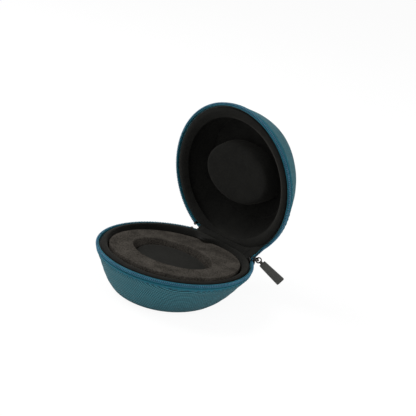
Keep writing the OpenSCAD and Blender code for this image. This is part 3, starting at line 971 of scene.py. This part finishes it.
@dataclass(frozen=True)
class ZipSection:
    """The zip cut across: radius from the rim's centre, and height from the parting plane."""

    coil_gap: float = 0.7 * MM
    coil_h: float = 2.0 * MM
    coil_t: float = 1.6 * MM
    pitch: float = 1.35 * MM
    wire_r: float = 0.36 * MM
    wire_steps: int = 14
    cord_r: float = 0.62 * MM
    cord_in: float = 0.17 * MM
    ridge_t: float = 1.4 * MM
    ridge_top: float = 3.4 * MM
    ridge_h: float = 1.2 * MM
    groove_z: float = 4.9 * MM
    tape_bottom: float = 5.39 * MM
    groove_r: float = 57.2 * MM
    thread_r: float = 0.22 * MM
    stitch_len: float = 2.6 * MM
    stitch_pitch: float = 4 * MM

    @property
    def middle_r(self) -> float:
        """Radius of the coil's middle line."""
        return FORM.rim_r + FORM.touch / 2 + self.coil_t / 2

    @property
    def middle_z(self) -> float:
        """Height of the coil's middle line."""
        return -self.coil_gap / 2 - self.coil_h / 2

    def tape(self) -> np.ndarray:
        """Draw the tape's outline: its flat web, its folded ridge and its sewn edge.

        Returns:
            Radii and heights of the closed outline.
        """
        web, rim, ridge, top = FORM.tape_in_r, FORM.rim_r, self.ridge_t - FORM.tape_t, -self.ridge_top
        keys = [
            (web, -self.tape_bottom), (web, -3.0 * MM), (web, -0.6 * MM),
            (rim - 0.2 * MM, -0.5 * MM), (rim, -0.7 * MM), (rim, -2.0 * MM), (rim, top + 0.1 * MM),
            (rim + ridge * 0.55, top - 0.02 * MM), (rim + ridge * 0.95, top - self.ridge_h * 0.35),
            (rim + ridge * 0.9, top - self.ridge_h * 0.7), (rim + ridge * 0.45, top - self.ridge_h * 0.98),
            (self.groove_r, -self.groove_z + 0.05 * MM),
            (self.groove_r - 0.05 * MM, -self.groove_z - 0.2 * MM), (self.groove_r, -self.tape_bottom),
        ]
        return through(np.array(keys), 3, closed=True)

    def wire(self, phase: np.ndarray) -> tuple[np.ndarray, np.ndarray]:
        """Radii and heights of the coil's wire, round a rounded rectangle, at the angles wound."""
        r = self.middle_r + (self.coil_t / 2 - self.wire_r) * squared(np.cos(phase), 0.7)
        return r, self.middle_z + (self.coil_h / 2 - self.wire_r) * squared(np.sin(phase), 0.7)

    def stitch(self) -> tuple[np.ndarray, np.ndarray, np.ndarray]:
        """Lay out one stitch, whose ends dive into the cloth by the fourth power of their distance.

        Returns:
            Distance along the seam, depth and radius.
        """
        share = np.linspace(-0.5, 0.5, 9)
        to_end = 2 * np.abs(share)
        radius = self.thread_r * (1 - 0.35 * to_end**6)
        return share * self.stitch_len, self.thread_r * 2.2 * to_end**4, radius


SECTION = ZipSection()
Carry = Callable[[np.ndarray, np.ndarray, np.ndarray], np.ndarray]


def sweep(section: np.ndarray, way: np.ndarray, carry: Carry, length: np.ndarray, face: Face) -> Mesh:
    """Carry a closed section along the zip and close both ends.

    Args:
        section: n by 2 array of radii and heights.
        way: where each row stands on its way.
        carry: gives places from radii, heights and the way.
        length: distance along the tape at each row.
        face: which way round the quads run.

    Returns:
        The finished skin.
    """
    run = arc_length(section[:, None])[:, 0]
    sheet = np.stack(np.broadcast_arrays(length[:, None], run), -1)
    return Mesh().closed(carry(section[:, 0], section[:, 1], way[:, None]), face, sheet)


def wind(carry: Carry, start: float, end: float, turns: int) -> tuple[Mesh, Mesh]:
    """Wind one filament round a core cord: each turn advances one pitch along the zip.

    Args:
        carry: gives places from radii, heights and the way.
        start: the way where the coil begins.
        end: the way where it ends.
        turns: how many turns it has.

    Returns:
        The wound wire and the cord inside it.
    """
    phase = np.linspace(0, turns * FULL_TURN, turns * SECTION.wire_steps + 1)
    way = start + (end - start) * phase / phase[-1]
    core = carry(SECTION.middle_r, SECTION.middle_z, way)
    wire = tube(Mesh(), carry(*SECTION.wire(phase), way), np.gradient(core, axis=0), SECTION.wire_r, 6)
    inside = carry(SECTION.middle_r - SECTION.cord_in, SECTION.middle_z, way)[:: SECTION.wire_steps]
    return wire, tube(Mesh(), inside, (0.3, 0.2, 0.9), SECTION.cord_r, 8)


@dataclass
class ZipRow(SubAssembly):
    """One half's row of the zip: tape, coil with its core cord, and the stitching below the ridge."""

    half: Half
    end_az: float
    coil_end_az: float

    def at(self, r: np.ndarray, z: np.ndarray, az: np.ndarray) -> np.ndarray:
        """Places in the part's frame of radii, heights and azimuths in this half's own."""
        return FORM.place(self.half, round_rim(r, z, az))

    def make_tape(self) -> None:
        """Carry the tape's section, with its folded ridge, round the rim."""
        name, az = self.half.value, np.linspace(ENDS.tape_left, self.end_az, 640)
        mesh = sweep(SECTION.tape(), az, self.at, az * FORM.rim_r, face_of(self.half, Face.REVERSED))
        settle(mesh.build(f"{name}_tape_woven", self.palette.tape), name, "zip_tape", f"{name}_zip_tape")

    def make_coil(self) -> None:
        """Wind the coil from the left end to the slider."""
        name, run = self.half.value, (self.coil_end_az - ENDS.coil_left) * SECTION.middle_r
        wire, cord = wind(self.at, ENDS.coil_left, self.coil_end_az, round(run / SECTION.pitch))
        settle(wire.build(f"{name}_coil_wound", self.palette.coil), name, "zip_coil", f"{name}_zip_coil")
        settle(cord.build(f"{name}_coil_cord", self.palette.cord), name, "zip_coil")

    def make_stitches(self) -> None:
        """Lay each stitch in the groove below the ridge."""
        name, mesh, (along, dive, radius) = self.half.value, Mesh(), SECTION.stitch()
        row_r = SECTION.groove_r + SECTION.thread_r + FORM.touch
        step = SECTION.stitch_pitch / row_r
        up = (0, 0, 1) if self.half is Half.BASE else (0, 1, 0)
        for middle in np.arange(ENDS.left + step, ENDS.right - step, step):
            tube(mesh, self.at(row_r - dive, -SECTION.groove_z, middle + along / row_r), up, radius, 6)
        settle(mesh.build(f"{name}_rim_thread", self.palette.thread), name, "thread", f"{name}_rim_stitches")

    def make(self) -> None:
        """Build tape, coil and stitching."""
        self.make_tape()
        self.make_coil()
        self.make_stitches()


@dataclass
class ZipTail(SubAssembly):
    """The last bit of the lid's tape and coil, from the lid's firm edge down into the slider."""

    end_az: float = FULL_TURN + math.radians(50.2)
    length: float = 13 * MM
    turns: int = 9
    pull_lid: float = 6 * MM
    pull_slider: float = 3.5 * MM
    gather: float = 0.6
    gather_top: float = -0.5 * MM
    backing_h: float = 5.5 * MM

    def along(self, r: np.ndarray, z: np.ndarray, t: np.ndarray) -> np.ndarray:
        """Places of the zip's section on its way down.

        The rim's edge follows the cubic that leaves the lid and enters the slider along the rim;
        the section turns about that edge from the open lid's attitude to the closed one's.

        Args:
            r: radii in the lid's own frame.
            z: heights in the lid's own frame.
            t: shares of the way, 0 at the lid and 1 in the slider.

        Returns:
            Places in the part's frame.
        """
        az = ENDS.lid_right + (self.end_az - ENDS.lid_right) * t
        angle = FORM.open_angle * (1 - t * t * (3 - 2 * t))
        edge = FORM.swing(round_rim(FORM.rim_r, 0.0, az), angle)
        ends, pulls = [], []
        for stop, open_by, pull in (
            (ENDS.lid_right, FORM.open_angle, self.pull_lid), (self.end_az, 0.0, self.pull_slider),
        ):
            here, next_to = (
                FORM.swing(round_rim(FORM.rim_r, 0.0, a), open_by) for a in (stop, stop + 0.01)
            )
            ends.append(here)
            pulls.append((next_to - here) / np.linalg.norm(next_to - here) * pull)
        k = np.asarray(t, float)[..., None]
        path = (1 + 2 * k) * (1 - k) ** 2 * ends[0] + k * (1 - k) ** 2 * pulls[0]
        path = path + k**2 * (3 - 2 * k) * ends[1] + k**2 * (k - 1) * pulls[1]
        return FORM.swing(round_rim(r, z, az), angle) - edge + path

    def gathered(self, r: np.ndarray, z: np.ndarray, t: np.ndarray) -> np.ndarray:
        """Places along the tail, drawn up towards the coil, fully so from half way down."""
        kept = 1 - self.gather * np.sin(math.pi * np.minimum(t, 0.5)) ** 0.6
        return self.along(r, self.gather_top + (z - self.gather_top) * kept, t)

    def bend_ends(self) -> tuple[np.ndarray, np.ndarray]:
        """Places on the tail's edge where it leaves the slider and where it meets the lid."""
        return self.along(FORM.rim_r, 0.0, 0.92), self.along(FORM.rim_r, 0.0, 0.02)

    def backing(self) -> np.ndarray:
        """Draw the lining behind the tail's tape: a thin strip along its inner face.

        Returns:
            Radii and heights of its closed outline.
        """
        inner, low = FORM.tape_in_r - 0.05 * MM, -self.backing_h
        out = [(inner, -0.55 * MM), (inner, -3.0 * MM), (inner, low)]
        back = [(inner - 0.5 * MM, low), (inner - 0.9 * MM, -3.0 * MM), (inner - 0.5 * MM, -0.55 * MM)]
        return through(np.array(out + back), 3, closed=True)

    def make(self) -> None:
        """Build the tail's tape, coil, cord and backing."""
        t = np.linspace(0, 1, 40)
        tape = sweep(SECTION.tape(), t, self.gathered, t * self.length, Face.AS_LAID)
        wire, cord = wind(self.along, 0.0, 1.0, self.turns)
        t = np.linspace(0, 1, 24)
        lining = sweep(self.backing(), t, self.gathered, t * self.length, Face.AS_LAID)
        for mesh, name, material, slot in (
            (tape, "lid_tape_tail", self.palette.tape, "zip_tape"),
            (wire, "lid_coil_tail", self.palette.coil, "zip_coil"),
            (cord, "lid_cord_tail", self.palette.cord, "zip_coil"),
            (lining, "lid_corner_lining", self.palette.pile, "lining_pile"),
        ):
            bend(mesh.build(name, material), *self.bend_ends(), slot)


# ---------------------------------------------------------------- hinge


@dataclass
class ClothHinge(SubAssembly):
    """The outer strip and the lining's fold."""

    half_w: float = 23.96 * MM
    leg: float = 9 * MM
    taper: float = 0.26
    near: float = 0.2 * MM
    far: float = 1.0 * MM
    stitch_in: float = 1.5 * MM
    fold_left: float = math.radians(117.6)
    base_right: float = math.radians(50.5)
    lid_right: float = math.radians(45.5)
    turn_left: float = math.radians(1.8)
    turn_right: float = math.radians(3)
    crown_r: float = 53.9 * MM
    base_crown_z: float = -0.05 * MM
    lid_crown_z: float = -0.7 * MM
    bow: float = 0.7 * MM
    crease_gap: float = 0.6 * MM
    crease_share: float = 0.08
    corner_share: float = 0.86
    end_share: float = 0.25
    end_dip: float = 0.2 * MM
    lean_height: float = 0.12
    tail_z: float = -0.9 * MM
    fold_t: float = 0.5 * MM
    bulges: tuple[tuple[float, float, float], ...] = ((0.45 * MM, 0.3, 0.06), (0.25 * MM, 0.5, 0.05))

    def lid_side(self, out: float, along: float) -> tuple[float, float]:
        """A point on the lid's rear face: out from it and along it from the fold."""
        cos, sin = math.cos(FORM.open_angle), math.sin(FORM.open_angle)
        return out * cos + along * sin, -out * sin + along * cos

    def make_spine(self) -> None:
        """Build the outer strip: flat on each half's rear face, with a soft inner corner.

        Its two corners on each leg are drawn in by the square of their distance from the fold.
        The section bends round a corner, so rungs across it close each end.
        """
        near, far, leg, turn, steps = self.near, self.far, self.leg, self.far * 1.9, 5
        inner, outer = (leg, leg * 0.6, leg * 0.3, turn * 0.9), (leg, leg * 0.6, leg * 0.35, turn)
        keys = [(near, -d) for d in inner] + [self.lid_side(near, d) for d in inner[::-1]]
        keys += [self.lid_side(far, d) for d in outer] + [(far, -d) for d in outer[::-1]]
        section = through(np.array(keys), steps, closed=True)
        x = np.linspace(-self.half_w, self.half_w, 97)
        reach = np.linalg.norm(section, axis=1) / leg
        across = x[:, None] * (1 - self.taper * reach**2)
        rows = FORM.fold_point(across, section[:, 0], section[:, 1])
        sheet = np.stack(np.broadcast_arrays(x[:, None], arc_length(section[:, None])[:, 0]), -1)
        n, m = rows.shape[:2]
        rung = np.arange(-(steps // 2), (m - steps) // 2)
        over = m - steps - rung
        end_cap = np.stack([rung % m, (rung + 1) % m, (over - 1) % m, over % m], -1)
        faces = [grid_faces(n, m, False, Face.AS_LAID), end_cap[:, ::-1], end_cap + (n - 1) * m]
        mesh = Mesh().add(rows.reshape(-1, 3), np.vstack(faces), sheet.reshape(-1, 2))
        start = FORM.fold_point(0.0, near, -leg * 0.35)
        end = FORM.fold_point(0.0, *self.lid_side(near, leg * 0.35))
        bend(mesh.build("hinge_strip_cloth", self.palette.cloth), start, end, "outer_cloth", "hinge_spine")

    def fold_edge(self, half: Half, last: float, crown_z: float, columns: int) -> np.ndarray:
        """Draw the line along one flange where the fold begins, from left to right.

        The line keeps to the flange's crown, and turns out to the tape over its last degrees.

        Args:
            half: the flange's half.
            last: azimuth of its right end.
            crown_z: height of the crown.
            columns: how many places.

        Returns:
            The places in the part's frame.
        """
        az = np.linspace(self.fold_left, last, columns)
        near_end = np.minimum((self.fold_left - az) / self.turn_left, (az - last) / self.turn_right)
        turned = eased(1 - np.clip(near_end, 0, 1))
        r = self.crown_r + (FORM.tape_in_r - FORM.touch - self.crown_r) * turned
        y = FORM.turn_back(r * np.sin(az), r - (FORM.dome_r - FORM.flat_back))
        return FORM.place(half, np.stack([r * np.cos(az), y, np.full_like(az, crown_z)], -1))

    def make_fold(self) -> None:
        """Stretch the lining from one flange to the other, round both corners.

        Each section is a chord from the base's flange to the lid's, bowed out into the case; the
        last ones on the right lean over to the zip's tail, so that no gap is left beside it. Each
        bulge is a bell curve: its height, and its place and reach as shares of the fold's width.
        """
        columns, u, tail = 161, np.linspace(0, 1, 25), ZipTail(self.palette)
        base = self.fold_edge(Half.BASE, self.base_right, self.base_crown_z, columns)
        lid = self.fold_edge(Half.LID, self.lid_right, self.lid_crown_z, columns)
        s, k = np.linspace(0, 1, columns)[:, None, None], u[None, :, None]
        half_open = FORM.open_angle / 2
        into_case = np.array([0, -math.cos(half_open), math.sin(half_open)])
        flat = np.clip(np.minimum(s, 1 - s) / self.end_share, 0, 1)
        bow = self.bow * flat - self.end_dip * (1 - flat)
        for height, place, reach in self.bulges:
            bow = bow + height * np.exp(-(((s - place) / reach) ** 2))
        behind = (FORM.hinge_back - (base[:, 1] + lid[:, 1]) / 2)[:, None, None] - self.crease_gap
        crease = (1 - np.clip(s / self.crease_share, 0, 1)) * np.maximum(behind, 0)
        bow = bow - crease / math.cos(half_open)
        rows = base[:, None] + (lid - base)[:, None] * k + bow * 4 * k * (1 - k) * into_case
        lean = eased(np.clip((s - self.corner_share) / (1 - self.corner_share), 0, 1))
        lean = lean * np.clip(k / self.lean_height, 0, 1)
        rows = rows * (1 - lean) + tail.along(FORM.tape_in_r - FORM.touch, self.tail_z, 1 - u) * lean
        rows = np.concatenate([rows[:, ::-1], rows - into_case * self.fold_t], 1)
        cut, middle = round(self.corner_share * columns), columns // 2
        main = Mesh().closed(rows[: cut + 1]).build("hinge_fold_lining", self.palette.pile)
        bend(main, base[middle], lid[middle], "lining_pile", "hinge_gusset")
        corner = Mesh().closed(rows[cut - 1 :]).build("hinge_fold_corner", self.palette.pile)
        bend(corner, *tail.bend_ends(), "lining_pile")

    def make_stitches(self) -> None:
        """Sew the strip to each half with one row of stitches."""
        along, dive, radius = SECTION.stitch()
        y = FORM.hinge_back + self.far + SECTION.thread_r + FORM.touch / 2 - dive
        for half in Half:
            mesh = Mesh()
            for i in range(-5, 6):
                places = (i * SECTION.stitch_pitch + along, y, self.stitch_in - self.leg)
                path = FORM.place(half, np.stack(np.broadcast_arrays(*places), -1))
                tube(mesh, path, (0, 0.3, 1), radius, 6)
            piece = mesh.build(f"{half.value}_hinge_thread", self.palette.thread)
            settle(piece, half.value, "thread", f"{half.value}_spine_stitches")

    def make(self) -> None:
        """Build strip, fold and stitching."""
        self.make_spine()
        self.make_fold()
        self.make_stitches()


# ---------------------------------------------------------------- slider and puller


@dataclass
class Slider(SubAssembly):
    """The slider with its bail, and the puller that hangs on it."""

    az: float = math.radians(52.468)
    length: float = 8 * MM
    plate_in_r: float = 58.95 * MM
    plate_out_r: float = 60.15 * MM
    back_in_r: float = 55.3 * MM
    back_out_r: float = 56.3 * MM
    back_h: float = 2.1 * MM
    channel_h: float = 2.5 * MM
    wall: float = 0.6 * MM
    overlap: float = 0.4 * MM
    side_in: float = 0.3 * MM
    post_len: float = 2.6 * MM
    post_t: float = 0.4 * MM
    bail_r: float = 0.6 * MM
    bail_h: float = 2.7 * MM
    bail_len: float = 4.8 * MM
    droop: float = math.radians(37)
    eye_x: float = 0.7 * MM
    eye_hole_r: float = 1.6 * MM
    eye_wall: float = 0.9 * MM
    link_t: float = 1.4 * MM
    stem_w: float = 2.4 * MM
    stem_in: float = 5 * MM
    grip_start: float = 4.6 * MM
    puller_len: float = 26.7 * MM
    neck_w: float = 5.4 * MM
    tip_w: float = 7.0 * MM
    grip_t: float = 2.0 * MM
    hatch: float = 0.95 * MM
    hatch_depth: float = 0.14 * MM
    face_depth: float = 0.06 * MM
    border: float = 0.55 * MM

    def at_slider(self, x: np.ndarray, y: np.ndarray, z: np.ndarray) -> np.ndarray:
        """Carry places from the slider's own frame: X outward, Y along the rim, Z up."""
        cos, sin = math.cos(self.az), math.sin(self.az)
        return np.stack(np.broadcast_arrays(x * cos - y * sin, x * sin + y * cos, z + FORM.half_depth), -1)

    def at_puller(self, x: np.ndarray, y: np.ndarray, z: np.ndarray) -> np.ndarray:
        """Carry places from the puller's own frame: origin on the bail's bar, X to the tip."""
        cos, sin = math.cos(self.droop), math.sin(self.droop)
        return self.at_slider(self.plate_out_r + self.bail_h + x * cos + z * sin, y, z * cos - x * sin)

    def block(
        self, mesh: Mesh, radii: tuple, half_len: float, heights: tuple, edge: float, taper: float = 0.0
    ) -> None:
        """Add a soft-edged block, bent round the rim and narrower at its far end.

        Args:
            mesh: the mesh to add to.
            radii: its inner and outer radius.
            half_len: half its length along the rim.
            heights: its lower and upper height.
            edge: softness of its edges.
            taper: share of its height that it loses from one end to the other.
        """
        low, high = np.array([radii[0], -half_len, heights[0]]), np.array([radii[1], half_len, heights[1]])
        rows = rounded_block(tuple((high - low) / 2), edge)
        rows[..., 2] *= 1 - taper * (rows[..., 1] / (high[1] - low[1]) + 0.5)
        r, y, z = np.moveaxis(rows + (high + low) / 2, -1, 0)
        mesh.closed(FORM.place(Half.BASE, round_rim(r, z, self.az + y / FORM.rim_r)))

    def make_body(self) -> None:
        """Build front plate, side walls, back plate and post as one casting."""
        half, channel, top = self.length / 2, self.channel_h, self.channel_h + self.wall
        mesh, lap, plate_in, plate_out = Mesh(), self.overlap, self.plate_in_r, self.plate_out_r
        self.block(mesh, (plate_in, plate_out), half, (-top, top), 0.35, 0.16)
        side_r = (FORM.rim_r + self.side_in, plate_out - self.side_in)
        self.block(mesh, side_r, half, (-top, -channel), 0.3)
        self.block(mesh, side_r, half, (channel, top), 0.3)
        self.block(mesh, (self.back_in_r, self.back_out_r), half, (-self.back_h, self.back_h), 0.3)
        post_r, post_z = (self.back_out_r - lap, plate_in + lap), (-self.post_t / 2, self.post_t / 2)
        self.block(mesh, post_r, self.post_len / 2, post_z, 0.3)
        settle(mesh.build("slider_casting", self.palette.metal), "slider", "zip_metal", "slider_body")

    def make_bail(self) -> None:
        """Bend the bail's wire over in one flat arch."""
        turn = np.linspace(0, math.pi, 33)
        y = self.bail_len / 2 * squared(np.cos(turn), 0.45)
        arch = (self.bail_h + self.overlap) * squared(np.sin(turn), 0.45)
        path = self.at_slider(self.plate_out_r - self.overlap + arch, y, 0.0)
        piece = tube(Mesh(), path, (0, 0, 1), self.bail_r, 14).build("slider_bail_wire", self.palette.metal)
        settle(piece, "slider", "zip_metal", "slider_bail")

    def make_link(self) -> None:
        """Build the puller's metal eye and the stem that runs into the grip."""
        turn, section = (np.arange(count) * FULL_TURN / count for count in (48, 20))
        thick = self.link_t / 2 * squared(np.sin(section), 0.6)
        r = self.eye_hole_r + self.eye_wall / 2 + self.eye_wall / 2 * squared(np.cos(section), 0.6)
        cos, sin = np.cos(turn)[:, None], np.sin(turn)[:, None]
        mesh = Mesh().looped(self.at_puller(self.eye_x + r * cos, thick, r * sin))
        start = self.eye_x + self.eye_hole_r + self.eye_wall * 0.4
        end = self.grip_start + self.stem_in
        stem = rounded_block(((end - start) / 2, self.link_t / 2, self.stem_w / 2), 0.3)
        x, y, z = np.moveaxis(stem, -1, 0)
        mesh.closed(self.at_puller(x + (end + start) / 2, y, z))
        settle(mesh.build("puller_eye_link", self.palette.metal), "puller", "zip_metal", "puller_link")

    def make_grip(self) -> None:
        """Mould the grip: a flat bar that widens to its tip, with a cross-hatched face each side.

        Each ring is a rounded rectangle across the bar. The faces sink along two sets of
        straight grooves inside a plain border.
        """
        x = np.linspace(self.grip_start, self.puller_len, 220)[:, None]
        from_neck, from_tip = x - self.grip_start, self.puller_len - x
        share = from_neck / (self.puller_len - self.grip_start)
        half_w = (self.neck_w + (self.tip_w - self.neck_w) * share**0.9) / 2
        close = np.clip(np.minimum(from_neck / (0.5 * MM), from_tip / (0.9 * MM)), 0, 1)
        rounding = np.sqrt(np.clip(1 - (1 - close) ** 2, 0.0, 1))
        turn = np.arange(120) * FULL_TURN / 120
        z = half_w * squared(np.cos(turn), 0.6) * (0.72 + 0.28 * rounding)
        y = self.grip_t / 2 * squared(np.sin(turn), 0.28) * (0.25 + 0.75 * rounding)
        inside = np.minimum(half_w - np.abs(z), np.minimum(from_neck, from_tip))
        on_face = np.clip((inside - self.border) / (0.15 * MM), 0, 1)
        from_groove = [np.abs(np.mod(slant / self.hatch, 1) - 0.5) * 2 for slant in (x + z, x - z)]
        cut = np.clip(1 - np.minimum(*from_groove) / 0.35, 0, 1)
        y = y - np.sign(y) * on_face * (self.face_depth + self.hatch_depth * cut)
        piece = Mesh().closed(self.at_puller(x, y, z)).build("puller_grip_moulded", self.palette.grip)
        settle(piece, "puller", "puller_rubber", "puller_grip")

    def make(self) -> None:
        """Build all four pieces."""
        self.make_body()
        self.make_bail()
        self.make_link()
        self.make_grip()


def dress_frame(palette: Palette) -> None:
    """Give the CAD nodes that stay visible their finish.

    Args:
        palette: every finish.
    """
    soft = ("base_shell", "base_boss_core", "lid_shell")
    for name in (*soft, "base_top_stop", "bottom_stop", "lid_top_stop"):
        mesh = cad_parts[name].data
        mesh.materials.clear()
        mesh.materials.append(palette.eva if name in soft else palette.metal)


# ---------------------------------------------------------------- stage


@dataclass
class Studio:
    """Pale floor, soft lights, plain background and camera."""

    eye: tuple[float, float, float] = (403.2 * MM, -449.4 * MM, 272.2 * MM)
    right: tuple[float, float, float] = (0.7104, 0.6805, 0.1792)
    up: tuple[float, float, float] = (-0.3469, 0.1171, 0.9306)
    lens: float = 76.5
    floor_half: float = 4.0
    floor_share: float = 0.89
    floor_glow: float = 1.03
    backdrop: float = 1.02
    ambient: float = 0.46

    def make_camera(self) -> None:
        """Stand the camera at its place, looking square to its right and up directions."""
        data = bpy.data.cameras.new("camera")
        data.lens, data.sensor_width, data.clip_end = self.lens, 36, 20
        right, up = Vector(self.right), Vector(self.up)
        turn = Matrix((right, up, right.cross(up))).transposed().to_4x4()
        camera = stand("camera", data)
        camera.matrix_world = Matrix.Translation(self.eye) @ turn
        bpy.context.scene.camera = camera

    def make_light(self, name: str, place: tuple, size: float, power: float) -> None:
        """Hang one square soft light, turned to the case.

        Args:
            name: its name.
            place: where it hangs.
            size: length of its side.
            power: its power in watts.
        """
        data = bpy.data.lights.new(name, "AREA")
        data.size, data.energy = size, power
        light = stand(name, data)
        light.location = place
        toward = Vector((0, 20 * MM, 50 * MM)) - Vector(place)
        light.rotation_euler = toward.to_track_quat("-Z", "Y").to_euler()

    def make_floor(self) -> None:
        """Lay the floor: pale, lit by the lamps, and near white where the camera sees it."""
        material = bpy.data.materials.new("painted_floor_white")
        tree = empty_tree(material)
        seen = add_node(tree, "LightPath").outputs["Is Camera Ray"]
        matt = add_node(tree, "BsdfDiffuse", {"Color": linear("#f4f4f4")}).outputs[0]
        glow = add_node(tree, "Emission", {"Color": (1, 1, 1, 1), "Strength": self.floor_glow}).outputs[0]
        share = add_node(tree, "Math", {0: seen, 1: self.floor_share}, operation="MULTIPLY")
        mix = add_node(tree, "MixShader", {0: share.outputs[0], 1: matt, 2: glow})
        add_node(tree, "OutputMaterial", {"Surface": mix.outputs[0]})
        half, mesh = self.floor_half, bpy.data.meshes.new("floor")
        corners = [(-half, -half, 0), (half, -half, 0), (half, half, 0), (-half, half, 0)]
        mesh.from_pydata(corners, [], [(0, 1, 2, 3)])
        mesh.materials.append(material)
        stand("floor", mesh)

    def make_world(self) -> None:
        """A world that is white to the camera and to gloss, and dimmer as ambient light."""
        world = bpy.data.worlds.new("studio")
        tree = empty_tree(world)
        rays = add_node(tree, "LightPath").outputs
        seen = rays["Is Camera Ray"]
        for other in ("Is Glossy Ray", "Is Transmission Ray"):
            seen = add_node(tree, "Math", {0: seen, 1: rays[other]}, operation="MAXIMUM").outputs[0]
        level = add_node(tree, "MapRange", {0: seen, 3: self.ambient, 4: self.backdrop}).outputs[0]
        shine = add_node(tree, "Background", {"Color": (1, 1, 1, 1), "Strength": level})
        add_node(tree, "OutputWorld", {"Surface": shine.outputs[0]})
        bpy.context.scene.world = world

    def make(self) -> None:
        """Set the whole stage."""
        self.make_camera()
        self.make_floor()
        self.make_world()
        self.make_light("key", (-0.95, -0.5, 1.2), 0.9, 19)
        self.make_light("fill", (1.3, 0.35, 0.9), 1.0, 9)
        self.make_light("front", (0.3, -1.6, 0.7), 1.0, 4.5)
        bpy.context.scene.view_settings.view_transform = "Standard"


def main() -> None:
    """Build the whole case in order."""
    logging.basicConfig(level=logging.INFO, format="%(message)s")
    Studio().make()
    palette = Palette()
    for part in (
        BowlCover(palette, Half.BASE),
        BowlCover(palette, Half.LID),
        Lining(palette, Half.BASE, 5.8 * MM, 8.8 * MM, rise=0.5 * MM, overhang=8 * MM),
        Lining(palette, Half.LID, 9.2 * MM, 9.8 * MM, roll=2.2),
        FoamRing(palette),
        ZipRow(palette, Half.BASE, ENDS.right, ENDS.coil_right),
        ZipRow(palette, Half.LID, ENDS.lid_right, ENDS.lid_right),
        ZipTail(palette),
        ClothHinge(palette),
        Slider(palette),
    ):
        part.make()
    dress_frame(palette)
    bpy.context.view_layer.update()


if __name__ == "__main__":
    main()
